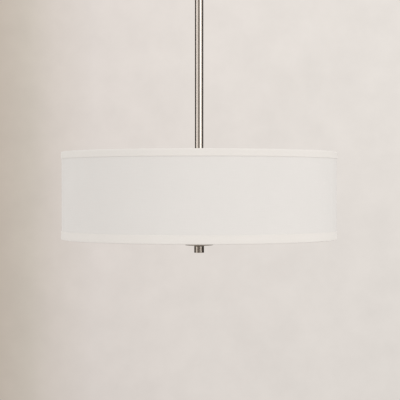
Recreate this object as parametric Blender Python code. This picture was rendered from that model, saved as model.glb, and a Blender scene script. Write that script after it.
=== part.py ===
"""Drum pendant light on a rigid stem. Metres, +Z up.

The origin is the middle of the ceiling plane that the canopy closes against, and the light
hangs below it. A crossbar carries the canopy, the canopy carries a hang-straight swivel that
turns about Z and tilts about X, and two rods hang from the swivel. The lower rod carries the
drum shade's wire frame, a cluster of three lampholders, and a threaded centre pipe, on which
a finial holds the diffuser up.
"""

import math

import bmesh
import bpy

# Clearances that all pieces share
SEAT_GAP = 0.0003  # between two pieces that rest on each other
BORE_GAP = 0.0003  # round a pipe, pin or screw in its hole, on the radius
CUT_OVERRUN = 0.0020  # how far a cutter passes the faces that it opens
WELD_DISTANCE = 0.000001  # points nearer than this are one point

# How finely round shapes are divided
DRUM_SEGMENTS = 48
CANOPY_SEGMENTS = 28
BODY_SEGMENTS = 16
SOCKET_SEGMENTS = 14
SMALL_SEGMENTS = 12  # a multiple of the sides of a hexagon nut
WIRE_SEGMENTS = 6
CORNER_STEPS = 2
BALL_STEPS = 4
TONGUE_STEPS = 6
HEX_SIDES = 6
SHARP_ANGLE = math.radians(35)
CUTTER_TWIST = math.radians(10)  # keeps a cutter's corners off the edges of the faces that it meets

# Threaded lamp pipe, which the stud, the arms and the centre pipe are cut from
PIPE_RADIUS = 0.0050
PIPE_BORE_RADIUS = 0.0033
PIPE_CHAMFER = 0.0004
PIPE_NUT_FLAT = 0.0074  # centre to flat
PIPE_NUT_HEIGHT = 0.0045
PIPE_HOLE_RADIUS = PIPE_RADIUS + BORE_GAP
WIRE_HOLE_RADIUS = 0.0025

# Machine screws of the ceiling plate
SCREW_RADIUS = 0.0021
SCREW_HEAD_RADIUS = 0.0040
SCREW_HEAD_HEIGHT = 0.0024
SCREW_HEAD_ROUND = 0.0012
SCREW_NUT_FLAT = 0.0044
SCREW_NUT_HEIGHT = 0.0032
SCREW_HOLE_RADIUS = SCREW_RADIUS + BORE_GAP
BOX_SCREW_LENGTH = 0.0200
GROUND_SCREW_LENGTH = 0.0070

# Crossbar, flat against the ceiling box
CROSSBAR_LENGTH = 0.1080
CROSSBAR_WIDTH = 0.0240
CROSSBAR_THICKNESS = 0.0020
CROSSBAR_CORNER = 0.0040
BOX_SCREW_SPACING = 0.0889
BOX_SLOT_LENGTH = 0.0130
CANOPY_SCREW_SPACING = 0.0600
GROUND_SCREW_X = 0.0160
GROUND_SCREW_Y = -0.0060

# Canopy cup, open towards the ceiling
CANOPY_RADIUS = 0.0635
CANOPY_DEPTH = 0.0260
CANOPY_WALL = 0.0012
CANOPY_CORNER = 0.0060
CANOPY_WASHER_RADIUS = 0.0150
CANOPY_WASHER_THICKNESS = 0.0015
CAP_NUT_RADIUS = 0.0055
CAP_NUT_FOOT_RADIUS = 0.0048
CAP_NUT_FOOT_HEIGHT = 0.0030
CAP_NUT_THREAD = 0.0060
CAP_NUT_BORE_RELIEF = 0.0010
CAP_NUT_NECK_DEGREES = 50  # how far above its equator the ball meets the foot

# Hang-straight swivel: a stud in the canopy, a turning yoke on its head, a tilting eye
STUD_TOP_STANDOUT = 0.0030
STUD_HEAD_LIP = 0.0025
STUD_HEAD_HEIGHT = 0.0030
STUD_HEAD_SIDE_GAP = 0.0006
COLLAR_HEIGHT = 0.0055
COLLAR_OVERHANG = 0.0015
COLLAR_HUB_WALL = 0.0020
COLLAR_EDGE = 0.0012
STOP_PIN_RADIUS = 0.0012
STOP_PIN_HEIGHT = 0.0026
STOP_PIN_GAP = 0.0006
YOKE_PLATE = 0.0040
YOKE_ARM_THICKNESS = 0.0062
YOKE_BELOW_PIVOT = 0.0045
YOKE_EDGE = 0.0006
EYE_WIRE_BORE_RADIUS = 0.0030
TONGUE_WALL = 0.0030
TONGUE_RADIUS = 0.0080
TONGUE_HEADROOM = 0.0007
TILT_STOP = math.radians(47)  # where the eye's shoulder meets the yoke's arms
PIVOT_PIN_RADIUS = 0.0025
PIVOT_HEAD_RADIUS = 0.0040
PIVOT_HEAD_HEIGHT = 0.0020
PIVOT_HEAD_SINK = 0.0022
PIVOT_HEAD_EDGE = 0.0005
EYE_SHOULDER_OVERHANG = 0.0024
EYE_SHOULDER_HEIGHT = 0.0040
EYE_TAPER_HEIGHT = 0.0080
EYE_STUB_LENGTH = 0.0140

# Stem: two rods with a hidden threaded sleeve between them
ROD_WALL = 0.0013
BUSHING_WALL = 0.0011
UPPER_ROD_LENGTH = 0.1524
LOWER_ROD_LENGTH = 0.3048
SLEEVE_LENGTH = 0.0300
BUSHING_LENGTH = 0.0150
PIPE_IN_ROD = 0.0120
ROD_RADIUS = PIPE_HOLE_RADIUS + BUSHING_WALL + BORE_GAP + ROD_WALL
ROD_BORE_RADIUS = ROD_RADIUS - ROD_WALL
ROD_PLUG_RADIUS = ROD_BORE_RADIUS - BORE_GAP

# Drum shade: a linen skin, a wire ring at each rim, and a trim band folded over each ring
DRUM_RADIUS = 0.2540
DRUM_HEIGHT = 0.1600
SKIN_WALL = 0.0012
TRIM_THICKNESS = 0.0010
TRIM_ROLL = 0.0016
TOP_TRIM_HEIGHT = 0.0127
BOTTOM_TRIM_HEIGHT = 0.0155
TRIM_INNER_HEIGHT = 0.0080
RING_WIRE_RADIUS = 0.0020

# Shade frame's recessed spider, clamped between the stem collar and the cluster
ROD_END_BELOW_RIM = 0.0120
STEM_COLLAR_WALL = 0.0077
STEM_COLLAR_HEIGHT = 0.0050
STEM_COLLAR_EDGE = 0.0008
HUB_THICKNESS = 0.0020
HUB_MARGIN = 0.0050
SPOKE_COUNT = 3
SPOKE_RADIUS = 0.0018
SPOKE_BEND = 0.0060
SPOKE_LIFT = 0.0004  # underside of a spoke above the hub's underside
SPOKE_COLLAR_GAP = 0.0010

# Cluster body with three arms
ARM_COUNT = 3
CLUSTER_RADIUS = 0.0280
CLUSTER_HEIGHT = 0.0320
CLUSTER_WALL = 0.0015
CLUSTER_CORNER = 0.0040
COVER_THICKNESS = 0.0020
COVER_LIP_HEIGHT = 0.0030
COVER_LIP_WALL = 0.0015
ARM_INSIDE_CLUSTER = 0.0040
ARM_COLLAR_WIDTH = 0.0030
ARM_COLLAR_LIP = 0.0025
ARM_IN_HOLDER = 0.0060

# Lampholders and their screw shells
HOLDER_FLOOR = 0.0080
HOLDER_WALL = 0.0041
HOLDER_NECK_STEP = 0.0015
HOLDER_NECK_LENGTH = 0.0100
HOLDER_MOUTH_EDGE = 0.0010
SHELL_WALL = 0.0006
SHELL_LENGTH = 0.0277
SHELL_MOUTH_INSET = 0.0020
SHELL_CONTACT_HOLE = 0.0060

# Bulbs
BULB_BASE_RADIUS = 0.0130
BULB_BASE_CLEARANCE = 0.0005
BULB_BASE_WALL = 0.0010
BULB_BASE_THREAD = 0.0200
BULB_BASE_CONE = 0.0040
BULB_BASE_CONE_RADIUS = 0.0070
BULB_TIP_RADIUS = 0.0045
BULB_TIP_HEIGHT = 0.0015
BULB_RADIUS = 0.0300
BULB_GLASS_LENGTH = 0.0820
BULB_GLASS_WALL = 0.0010
BULB_CROWN_STEPS = 3
# (share of the length below the crown, share of the bulb's radius), from the neck up
BULB_NECK_SHARES = ((0.0, 0.43), (0.2, 0.46), (0.55, 0.73), (0.8, 0.93))

# Diffuser and what holds it
DIFFUSER_THICKNESS = 0.0030
DIFFUSER_RAISE = 0.0030
DIFFUSER_EDGE_GAP = 0.0015
DIFFUSER_WASHER_RADIUS = 0.0180
DIFFUSER_WASHER_THICKNESS = 0.0012
CUP_RADIUS = 0.0266
CUP_DROP = 0.0129
CUP_WALL = 0.0012
CUP_CORNER = 0.0020
FINIAL_RADIUS = 0.00925
FINIAL_HEIGHT = 0.0122
FINIAL_EDGE = 0.0004
FINIAL_END_WALL = 0.0032
PIPE_IN_FINIAL = 0.0080

# Radii and widths that follow from the sizes above
STUD_HEAD_RADIUS = PIPE_RADIUS + STUD_HEAD_LIP
TONGUE_HALF = EYE_WIRE_BORE_RADIUS + TONGUE_WALL
SLOT_HALF = TONGUE_HALF + BORE_GAP
YOKE_RADIUS = SLOT_HALF + YOKE_ARM_THICKNESS
COLLAR_RADIUS = YOKE_RADIUS + COLLAR_OVERHANG
GROOVE_INNER_RADIUS = PIPE_HOLE_RADIUS + COLLAR_HUB_WALL
GROOVE_OUTER_RADIUS = GROOVE_INNER_RADIUS + (STOP_PIN_RADIUS + STOP_PIN_GAP) * 2
STOP_CIRCLE_RADIUS = (GROOVE_INNER_RADIUS + GROOVE_OUTER_RADIUS) / 2
GROOVE_DEPTH = STOP_PIN_HEIGHT + STOP_PIN_GAP
YOKE_CORNER_Y = math.sqrt(YOKE_RADIUS**2 - SLOT_HALF**2)
YOKE_CORNER_REACH = math.hypot(YOKE_CORNER_Y, YOKE_BELOW_PIVOT)
YOKE_CORNER_ANGLE = math.atan2(YOKE_BELOW_PIVOT, YOKE_CORNER_Y)
EYE_NECK = YOKE_CORNER_REACH * math.sin(TILT_STOP + YOKE_CORNER_ANGLE)
EYE_SHOULDER_RADIUS = ROD_RADIUS + EYE_SHOULDER_OVERHANG
SKIN_RADIUS = DRUM_RADIUS - TRIM_THICKNESS - SEAT_GAP
SKIN_INNER_RADIUS = SKIN_RADIUS - SKIN_WALL
RING_RADIUS = SKIN_INNER_RADIUS - SEAT_GAP - RING_WIRE_RADIUS
RING_DEPTH = TRIM_THICKNESS + SEAT_GAP + RING_WIRE_RADIUS
TRIM_INNER_RADIUS = RING_RADIUS - RING_DEPTH
STEM_COLLAR_RADIUS = PIPE_HOLE_RADIUS + STEM_COLLAR_WALL
HUB_RADIUS = STEM_COLLAR_RADIUS + SPOKE_COLLAR_GAP + HUB_MARGIN
SHELL_INNER_RADIUS = BULB_BASE_RADIUS + BULB_BASE_CLEARANCE
SHELL_RADIUS = SHELL_INNER_RADIUS + SHELL_WALL
HOLDER_BORE_RADIUS = SHELL_RADIUS + BORE_GAP
HOLDER_RADIUS = HOLDER_BORE_RADIUS + HOLDER_WALL
DIFFUSER_RADIUS = TRIM_INNER_RADIUS - DIFFUSER_EDGE_GAP

# Heights in the ceiling's frame, from the top down
CANOPY_FLOOR_Z = CANOPY_WALL - CANOPY_DEPTH
COLLAR_TOP_Z = -CANOPY_DEPTH - SEAT_GAP
YOKE_TOP_Z = COLLAR_TOP_Z - COLLAR_HEIGHT - SEAT_GAP
STUD_HEAD_TOP_Z = YOKE_TOP_Z - YOKE_PLATE - SEAT_GAP
STUD_BOTTOM_Z = STUD_HEAD_TOP_Z - STUD_HEAD_HEIGHT
TONGUE_TOP_Z = STUD_BOTTOM_Z - TONGUE_HEADROOM
PIVOT_Z = TONGUE_TOP_Z - TONGUE_RADIUS
EYE_SHOULDER_Z = PIVOT_Z - EYE_NECK
UPPER_ROD_TOP_Z = EYE_SHOULDER_Z - EYE_SHOULDER_HEIGHT - EYE_TAPER_HEIGHT - SEAT_GAP
ROD_JOINT_Z = UPPER_ROD_TOP_Z - UPPER_ROD_LENGTH - SEAT_GAP
ROD_END_Z = ROD_JOINT_Z - LOWER_ROD_LENGTH
TOP_RIM_Z = ROD_END_Z + ROD_END_BELOW_RIM
BOTTOM_RIM_Z = TOP_RIM_Z - DRUM_HEIGHT
STEM_COLLAR_TOP_Z = ROD_END_Z - SEAT_GAP
HUB_TOP_Z = STEM_COLLAR_TOP_Z - STEM_COLLAR_HEIGHT - SEAT_GAP
HUB_BOTTOM_Z = HUB_TOP_Z - HUB_THICKNESS
SPOKE_Z = HUB_BOTTOM_Z + SPOKE_LIFT + SPOKE_RADIUS
CLUSTER_TOP_Z = HUB_BOTTOM_Z - SEAT_GAP
ARM_Z = CLUSTER_TOP_Z - CLUSTER_HEIGHT / 2
COVER_TOP_Z = CLUSTER_TOP_Z - CLUSTER_HEIGHT - SEAT_GAP
CLUSTER_NUT_TOP_Z = COVER_TOP_Z - COVER_THICKNESS - SEAT_GAP
DIFFUSER_TOP_Z = BOTTOM_RIM_Z + DIFFUSER_RAISE + DIFFUSER_THICKNESS
DIFFUSER_WASHER_TOP_Z = DIFFUSER_TOP_Z + SEAT_GAP + DIFFUSER_WASHER_THICKNESS
DIFFUSER_NUT_TOP_Z = DIFFUSER_WASHER_TOP_Z + SEAT_GAP + PIPE_NUT_HEIGHT
CUP_TOP_Z = BOTTOM_RIM_Z + DIFFUSER_RAISE - SEAT_GAP
CUP_BOTTOM_Z = BOTTOM_RIM_Z - CUP_DROP
FINIAL_TOP_Z = CUP_BOTTOM_Z - SEAT_GAP

# Distances from the centre pipe along each arm, from the cluster outwards
ARM_START = CLUSTER_RADIUS - CLUSTER_WALL - ARM_INSIDE_CLUSTER
ARM_COLLAR_START = CLUSTER_RADIUS + SEAT_GAP
HOLDER_START = ARM_COLLAR_START + ARM_COLLAR_WIDTH + SEAT_GAP
SHELL_START = HOLDER_START + HOLDER_FLOOR + SEAT_GAP
BULB_START = SHELL_START + SHELL_WALL + SEAT_GAP
GLASS_START = BULB_START + BULB_TIP_HEIGHT + BULB_BASE_CONE + BULB_BASE_THREAD + SEAT_GAP


def clear_scene():
    for thing in list(bpy.data.objects):
        bpy.data.objects.remove(thing)


def material(name, colour, roughness, metallic=0.0):
    """A Principled material. The colour is linear red, green and blue."""
    look = bpy.data.materials.new(name)
    look.use_nodes = True
    shader = look.node_tree.nodes["Principled BSDF"]
    shader.inputs["Base Color"].default_value = (*colour, 1.0)
    shader.inputs["Roughness"].default_value = roughness
    shader.inputs["Metallic"].default_value = metallic
    look.diffuse_color = (*colour, 1.0)
    return look


def solid(name, mesh_data, look):
    """Puts a bmesh in the scene as a closed, smooth-shaded object with its faces outwards."""
    bmesh.ops.remove_doubles(mesh_data, verts=mesh_data.verts, dist=WELD_DISTANCE)
    bmesh.ops.recalc_face_normals(mesh_data, faces=mesh_data.faces)
    mesh = bpy.data.meshes.new(name)
    mesh_data.to_mesh(mesh)
    mesh_data.free()
    mesh.shade_smooth()
    mesh.set_sharp_from_angle(angle=SHARP_ANGLE)
    mesh.materials.append(look)
    piece = bpy.data.objects.new(name, mesh)
    bpy.context.collection.objects.link(piece)
    return piece


def turned(name, profile, segments, look, twist=0.0):
    """Spins a closed profile of (radius, height) points about the local Z axis, from angle twist on."""
    mesh_data = bmesh.new()
    ring = []
    for radius, height in profile:
        corner = (radius * math.cos(twist), radius * math.sin(twist), height)
        ring.append(mesh_data.verts.new(corner))
    for start, end in zip(ring, ring[1:] + ring[:1]):
        mesh_data.edges.new((start, end))
    bmesh.ops.spin(
        mesh_data,
        geom=mesh_data.verts[:] + mesh_data.edges[:],
        cent=(0.0, 0.0, 0.0),
        axis=(0.0, 0.0, 1.0),
        angle=math.tau,
        steps=segments,
        use_merge=True,
    )
    return solid(name, mesh_data, look)


def prism(name, outline, low, high, look):
    """Extrudes a closed outline of (x, y) points from one height to another."""
    mesh_data = bmesh.new()
    base = mesh_data.faces.new([mesh_data.verts.new((x, y, low)) for x, y in outline])
    raised = bmesh.ops.extrude_face_region(mesh_data, geom=[base])["geom"]
    top = [item for item in raised if isinstance(item, bmesh.types.BMVert)]
    bmesh.ops.translate(mesh_data, verts=top, vec=(0.0, 0.0, high - low))
    return solid(name, mesh_data, look)


def arc(centre, radius, start, end, steps):
    """Points of an arc, both ends included, with the angles in degrees."""
    points = []
    for step in range(steps + 1):
        angle = math.radians(start + (end - start) * step / steps)
        across = centre[0] + radius * math.cos(angle)
        points.append((across, centre[1] + radius * math.sin(angle)))
    return points


def rounded_box_outline(half_length, half_width, corner, steps):
    """A rectangle about the origin with round corners. A corner as large as half the width gives a slot."""
    outline = []
    for x_side, y_side, start in ((1, 1, 0), (-1, 1, 90), (-1, -1, 180), (1, -1, 270)):
        centre = (x_side * (half_length - corner), y_side * (half_width - corner))
        outline += arc(centre, corner, start, start + 90, steps)
    return outline


def place(piece, parent=None, x=0.0, y=0.0, z=0.0):
    piece.parent = parent
    piece.location = (x, y, z)
    return piece


def frame(name, parent=None, z=0.0, tilt=0.0, turn=0.0):
    """An empty on a joint's axis. It tilts about Y first, and then turns about Z."""
    empty = bpy.data.objects.new(name, None)
    bpy.context.collection.objects.link(empty)
    empty.empty_display_size = PIPE_RADIUS
    empty.rotation_euler = (0.0, tilt, turn)
    return place(empty, parent, z=z)


def shape_with(piece, tool, operation):
    """Cuts or joins a piece with a tool, which stays in the scene as a wire guide."""
    tool.hide_render = True
    tool.display_type = "WIRE"
    change = piece.modifiers.new(tool.name, "BOOLEAN")
    change.operation = operation
    change.object = tool
    change.solver = "EXACT"


def cut(piece, tool):
    shape_with(piece, tool, "DIFFERENCE")


def join(piece, tool):
    shape_with(piece, tool, "UNION")


def round_tool(name, profile, look):
    return turned(name, profile, SMALL_SEGMENTS, look, CUTTER_TWIST)


def drill(piece, name, radius, low, high, look, x=0.0, y=0.0):
    """Cuts a round hole along the piece's local Z."""
    profile = [(0.0, low), (radius, low), (radius, high), (0.0, high)]
    cut(piece, place(round_tool(name, profile, look), piece, x=x, y=y))


def pipe_profile(low, high):
    """A length of lamp pipe with its ends chamfered."""
    edge = PIPE_RADIUS - PIPE_CHAMFER
    return [
        (PIPE_BORE_RADIUS, low),
        (edge, low),
        (PIPE_RADIUS, low + PIPE_CHAMFER),
        (PIPE_RADIUS, high - PIPE_CHAMFER),
        (edge, high),
        (PIPE_BORE_RADIUS, high),
    ]


def ring_profile(bore, radius, height, edge=0.0):
    """A flat ring from height 0 down, its outer edges broken by edge."""
    if edge == 0.0:
        return [(bore, -height), (radius, -height), (radius, 0.0), (bore, 0.0)]
    return [
        (bore, -height),
        (radius - edge, -height),
        (radius, edge - height),
        (radius, -edge),
        (radius - edge, 0.0),
        (bore, 0.0),
    ]


def hex_nut(name, bore, flat, height, look):
    """A hexagon nut from height 0 down, as a ring of faces between a hexagon and its bore."""
    steps = SMALL_SEGMENTS // HEX_SIDES
    mesh_data = bmesh.new()
    inner, outer = [], []
    for number in range(HEX_SIDES * steps):
        angle = math.tau * number / (HEX_SIDES * steps)
        off_flat = angle % (math.tau / HEX_SIDES) - math.pi / HEX_SIDES
        reach = flat / math.cos(off_flat)
        inner.append((bore * math.cos(angle), bore * math.sin(angle)))
        outer.append((reach * math.cos(angle), reach * math.sin(angle)))
    rings = []
    for outline, level in ((inner, 0.0), (outer, 0.0), (outer, -height), (inner, -height)):
        rings.append([mesh_data.verts.new((x, y, level)) for x, y in outline])
    for ring, following in zip(rings, rings[1:] + rings[:1]):
        for number, corner in enumerate(ring):
            previous = number - 1
            mesh_data.faces.new((corner, ring[previous], following[previous], following[number]))
    return solid(name, mesh_data, look)


def screw(name, length, look):
    """A pan-head screw. Its head is below height 0 and its shank goes up from there."""
    side = SCREW_HEAD_HEIGHT - SCREW_HEAD_ROUND
    crown = arc((SCREW_HEAD_RADIUS - SCREW_HEAD_ROUND, -side), SCREW_HEAD_ROUND, -90, 0, 1)
    profile = [(0.0, -SCREW_HEAD_HEIGHT)] + crown + [(SCREW_HEAD_RADIUS, 0.0)]
    profile += [(SCREW_RADIUS, 0.0), (SCREW_RADIUS, length), (0.0, length)]
    return turned(name, profile, SMALL_SEGMENTS, look)


def make_crossbar(steel):
    outline = rounded_box_outline(
        CROSSBAR_LENGTH / 2, CROSSBAR_WIDTH / 2, CROSSBAR_CORNER, CORNER_STEPS
    )
    bar = prism("crossbar", outline, -CROSSBAR_THICKNESS, 0.0, steel)
    low, high = -CROSSBAR_THICKNESS - CUT_OVERRUN, CUT_OVERRUN
    drill(bar, "crossbar_centre_hole", PIPE_HOLE_RADIUS, low, high, steel)
    ground_x, ground_y = GROUND_SCREW_X, GROUND_SCREW_Y
    drill(bar, "crossbar_ground_hole", SCREW_HOLE_RADIUS, low, high, steel, ground_x, ground_y)
    slot = rounded_box_outline(
        BOX_SLOT_LENGTH / 2, SCREW_HOLE_RADIUS, SCREW_HOLE_RADIUS, CORNER_STEPS
    )
    for side_name, side in (("left", -1), ("right", 1)):
        hole_x = side * CANOPY_SCREW_SPACING / 2
        drill(bar, f"crossbar_hole_{side_name}", SCREW_HOLE_RADIUS, low, high, steel, hole_x)
        tool = prism(f"crossbar_slot_{side_name}", slot, low, high, steel)
        cut(bar, place(tool, bar, x=side * BOX_SCREW_SPACING / 2))


def make_ceiling_screws(steel, ground_green):
    """The screws that go up into the ceiling box, and those that carry the canopy."""
    under_bar = -CROSSBAR_THICKNESS - SEAT_GAP
    ground = screw("ground_screw", GROUND_SCREW_LENGTH, ground_green)
    place(ground, x=GROUND_SCREW_X, y=GROUND_SCREW_Y, z=under_bar)
    for side_name, side in (("left", -1), ("right", 1)):
        box_screw = screw(f"box_screw_{side_name}", BOX_SCREW_LENGTH, steel)
        place(box_screw, x=side * BOX_SCREW_SPACING / 2, z=under_bar)
        canopy_x = side * CANOPY_SCREW_SPACING / 2
        length = SEAT_GAP + CANOPY_DEPTH + SEAT_GAP + CAP_NUT_THREAD
        hanger = screw(f"canopy_screw_{side_name}", length, steel)
        hanger.rotation_euler = (math.pi, 0.0, 0.0)
        place(hanger, x=canopy_x, z=SEAT_GAP)
        nut = hex_nut(
            f"canopy_screw_nut_{side_name}", SCREW_HOLE_RADIUS, SCREW_NUT_FLAT, SCREW_NUT_HEIGHT, steel
        )
        place(nut, x=canopy_x, z=under_bar)


def make_canopy(nickel, steel):
    """The cup, its cap nuts, and the washer and nut on its floor. Returns the height of the nut's top."""
    corner_low = CANOPY_CORNER - CANOPY_DEPTH
    inner_corner = CANOPY_CORNER - CANOPY_WALL
    corner_centre = (CANOPY_RADIUS - CANOPY_CORNER, corner_low)
    profile = [(CANOPY_RADIUS, 0.0)]
    profile += arc(corner_centre, CANOPY_CORNER, 0, -90, CORNER_STEPS)
    profile += [(PIPE_HOLE_RADIUS, -CANOPY_DEPTH), (PIPE_HOLE_RADIUS, CANOPY_FLOOR_Z)]
    profile += arc(corner_centre, inner_corner, -90, 0, CORNER_STEPS)
    profile += [(CANOPY_RADIUS - CANOPY_WALL, 0.0)]
    canopy = turned("canopy", profile, CANOPY_SEGMENTS, nickel)
    low, high = -CANOPY_DEPTH - CUT_OVERRUN, CANOPY_FLOOR_Z + CUT_OVERRUN
    for side_name, side in (("left", -1), ("right", 1)):
        hole_x = side * CANOPY_SCREW_SPACING / 2
        drill(canopy, f"canopy_hole_{side_name}", SCREW_HOLE_RADIUS, low, high, nickel, hole_x)
        place(make_cap_nut(f"cap_nut_{side_name}", nickel), x=hole_x, z=-CANOPY_DEPTH - SEAT_GAP)
    washer_profile = ring_profile(PIPE_HOLE_RADIUS, CANOPY_WASHER_RADIUS, CANOPY_WASHER_THICKNESS)
    washer = turned("canopy_washer", washer_profile, SOCKET_SEGMENTS, steel)
    washer_top = CANOPY_FLOOR_Z + SEAT_GAP + CANOPY_WASHER_THICKNESS
    place(washer, z=washer_top)
    nut = hex_nut("stud_nut", PIPE_HOLE_RADIUS, PIPE_NUT_FLAT, PIPE_NUT_HEIGHT, steel)
    nut_top = washer_top + SEAT_GAP + PIPE_NUT_HEIGHT
    place(nut, z=nut_top)
    return nut_top


def make_cap_nut(name, nickel):
    """A ball-ended nut with a blind hole in its foot, from height 0 down."""
    ball_centre = -CAP_NUT_FOOT_HEIGHT - CAP_NUT_RADIUS
    hole_end = -CAP_NUT_THREAD - CAP_NUT_BORE_RELIEF
    profile = [(0.0, hole_end), (SCREW_HOLE_RADIUS, hole_end), (SCREW_HOLE_RADIUS, 0.0)]
    profile += [(CAP_NUT_FOOT_RADIUS, 0.0), (CAP_NUT_FOOT_RADIUS, -CAP_NUT_FOOT_HEIGHT)]
    profile += arc((0.0, ball_centre), CAP_NUT_RADIUS, CAP_NUT_NECK_DEGREES, -90, BALL_STEPS)
    return turned(name, profile, SMALL_SEGMENTS, nickel)


def make_swivel_stud(steel, stud_top):
    """Lamp pipe from inside the canopy down to the head that carries the yoke."""
    low = STUD_BOTTOM_Z - stud_top
    head_top = STUD_HEAD_TOP_Z - stud_top
    profile = [
        (PIPE_BORE_RADIUS, low),
        (STUD_HEAD_RADIUS - PIPE_CHAMFER, low),
        (STUD_HEAD_RADIUS, low + PIPE_CHAMFER),
        (STUD_HEAD_RADIUS, head_top),
        (PIPE_RADIUS, head_top),
        (PIPE_RADIUS, -PIPE_CHAMFER),
        (PIPE_RADIUS - PIPE_CHAMFER, 0.0),
        (PIPE_BORE_RADIUS, 0.0),
    ]
    place(turned("swivel_stud", profile, SMALL_SEGMENTS, steel), z=stud_top)


def make_swivel_collar(nickel):
    """Clamps the canopy from below. A groove in its underside takes the yoke's stop pin."""
    bottom = -COLLAR_HEIGHT
    groove_top = bottom + GROOVE_DEPTH
    profile = [
        (PIPE_HOLE_RADIUS, 0.0),
        (PIPE_HOLE_RADIUS, bottom),
        (GROOVE_INNER_RADIUS, bottom),
        (GROOVE_INNER_RADIUS, groove_top),
        (GROOVE_OUTER_RADIUS, groove_top),
        (GROOVE_OUTER_RADIUS, bottom),
        (COLLAR_RADIUS - COLLAR_EDGE, bottom),
        (COLLAR_RADIUS, bottom + COLLAR_EDGE),
        (COLLAR_RADIUS, -COLLAR_EDGE),
        (COLLAR_RADIUS - COLLAR_EDGE, 0.0),
    ]
    collar = place(turned("swivel_collar", profile, BODY_SEGMENTS, nickel), z=COLLAR_TOP_Z)
    low, high = bottom + STOP_PIN_GAP, groove_top + STOP_PIN_GAP
    pin = stop_pin("collar_stop_pin", low, high, nickel)
    join(collar, place(pin, collar, y=STOP_CIRCLE_RADIUS))


def stop_pin(name, low, high, look):
    profile = [(0.0, low), (STOP_PIN_RADIUS, low), (STOP_PIN_RADIUS, high), (0.0, high)]
    return round_tool(name, profile, look)


def make_swivel_yoke(nickel, yoke_frame):
    """A turned block that hangs on the stud's head and is slotted for the eye's tongue."""
    bottom = PIVOT_Z - YOKE_BELOW_PIVOT - YOKE_TOP_Z
    pivot = PIVOT_Z - YOKE_TOP_Z
    slot_top = TONGUE_TOP_Z + SEAT_GAP - YOKE_TOP_Z
    profile = ring_profile(PIPE_HOLE_RADIUS, YOKE_RADIUS, -bottom, YOKE_EDGE)
    yoke = place(turned("swivel_yoke", profile, BODY_SEGMENTS, nickel), yoke_frame)
    recess_radius = STUD_HEAD_RADIUS + STUD_HEAD_SIDE_GAP
    drill(yoke, "yoke_head_recess", recess_radius, slot_top - SEAT_GAP, -YOKE_PLATE, nickel)
    outer = YOKE_RADIUS + CUT_OVERRUN
    slot = [(-SLOT_HALF, -outer), (SLOT_HALF, -outer), (SLOT_HALF, outer), (-SLOT_HALF, outer)]
    cut(yoke, place(prism("yoke_slot", slot, bottom - CUT_OVERRUN, slot_top, nickel), yoke))
    seat = YOKE_RADIUS - PIVOT_HEAD_SINK
    hole, recess = PIVOT_PIN_RADIUS + BORE_GAP, PIVOT_HEAD_RADIUS + BORE_GAP
    cross = [(0.0, -outer), (recess, -outer), (recess, -seat), (hole, -seat)]
    cross += [(hole, seat), (recess, seat), (recess, outer), (0.0, outer)]
    tool = place(round_tool("yoke_cross_hole", cross, nickel), yoke, z=pivot)
    tool.rotation_euler = (0.0, math.pi / 2, 0.0)
    cut(yoke, tool)
    pin = stop_pin("yoke_stop_pin", -STOP_PIN_HEIGHT, STOP_PIN_HEIGHT, nickel)
    join(yoke, place(pin, yoke, y=-STOP_CIRCLE_RADIUS))


def make_pivot_pins(steel, yoke_frame):
    """Two short shoulder pins, so that the wires can pass between them."""
    seat = YOKE_RADIUS - PIVOT_HEAD_SINK + SEAT_GAP
    tip = EYE_WIRE_BORE_RADIUS + SEAT_GAP
    head_end = seat + PIVOT_HEAD_HEIGHT
    profile = [
        (0.0, tip),
        (PIVOT_PIN_RADIUS, tip),
        (PIVOT_PIN_RADIUS, seat),
        (PIVOT_HEAD_RADIUS, seat),
        (PIVOT_HEAD_RADIUS, head_end - PIVOT_HEAD_EDGE),
        (PIVOT_HEAD_RADIUS - PIVOT_HEAD_EDGE, head_end),
        (0.0, head_end),
    ]
    for side_name, side in (("left", -1), ("right", 1)):
        pin = turned(f"pivot_pin_{side_name}", profile, SMALL_SEGMENTS, steel)
        pin.rotation_euler = (0.0, side * math.pi / 2, 0.0)
        place(pin, yoke_frame, z=PIVOT_Z - YOKE_TOP_Z)


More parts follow.
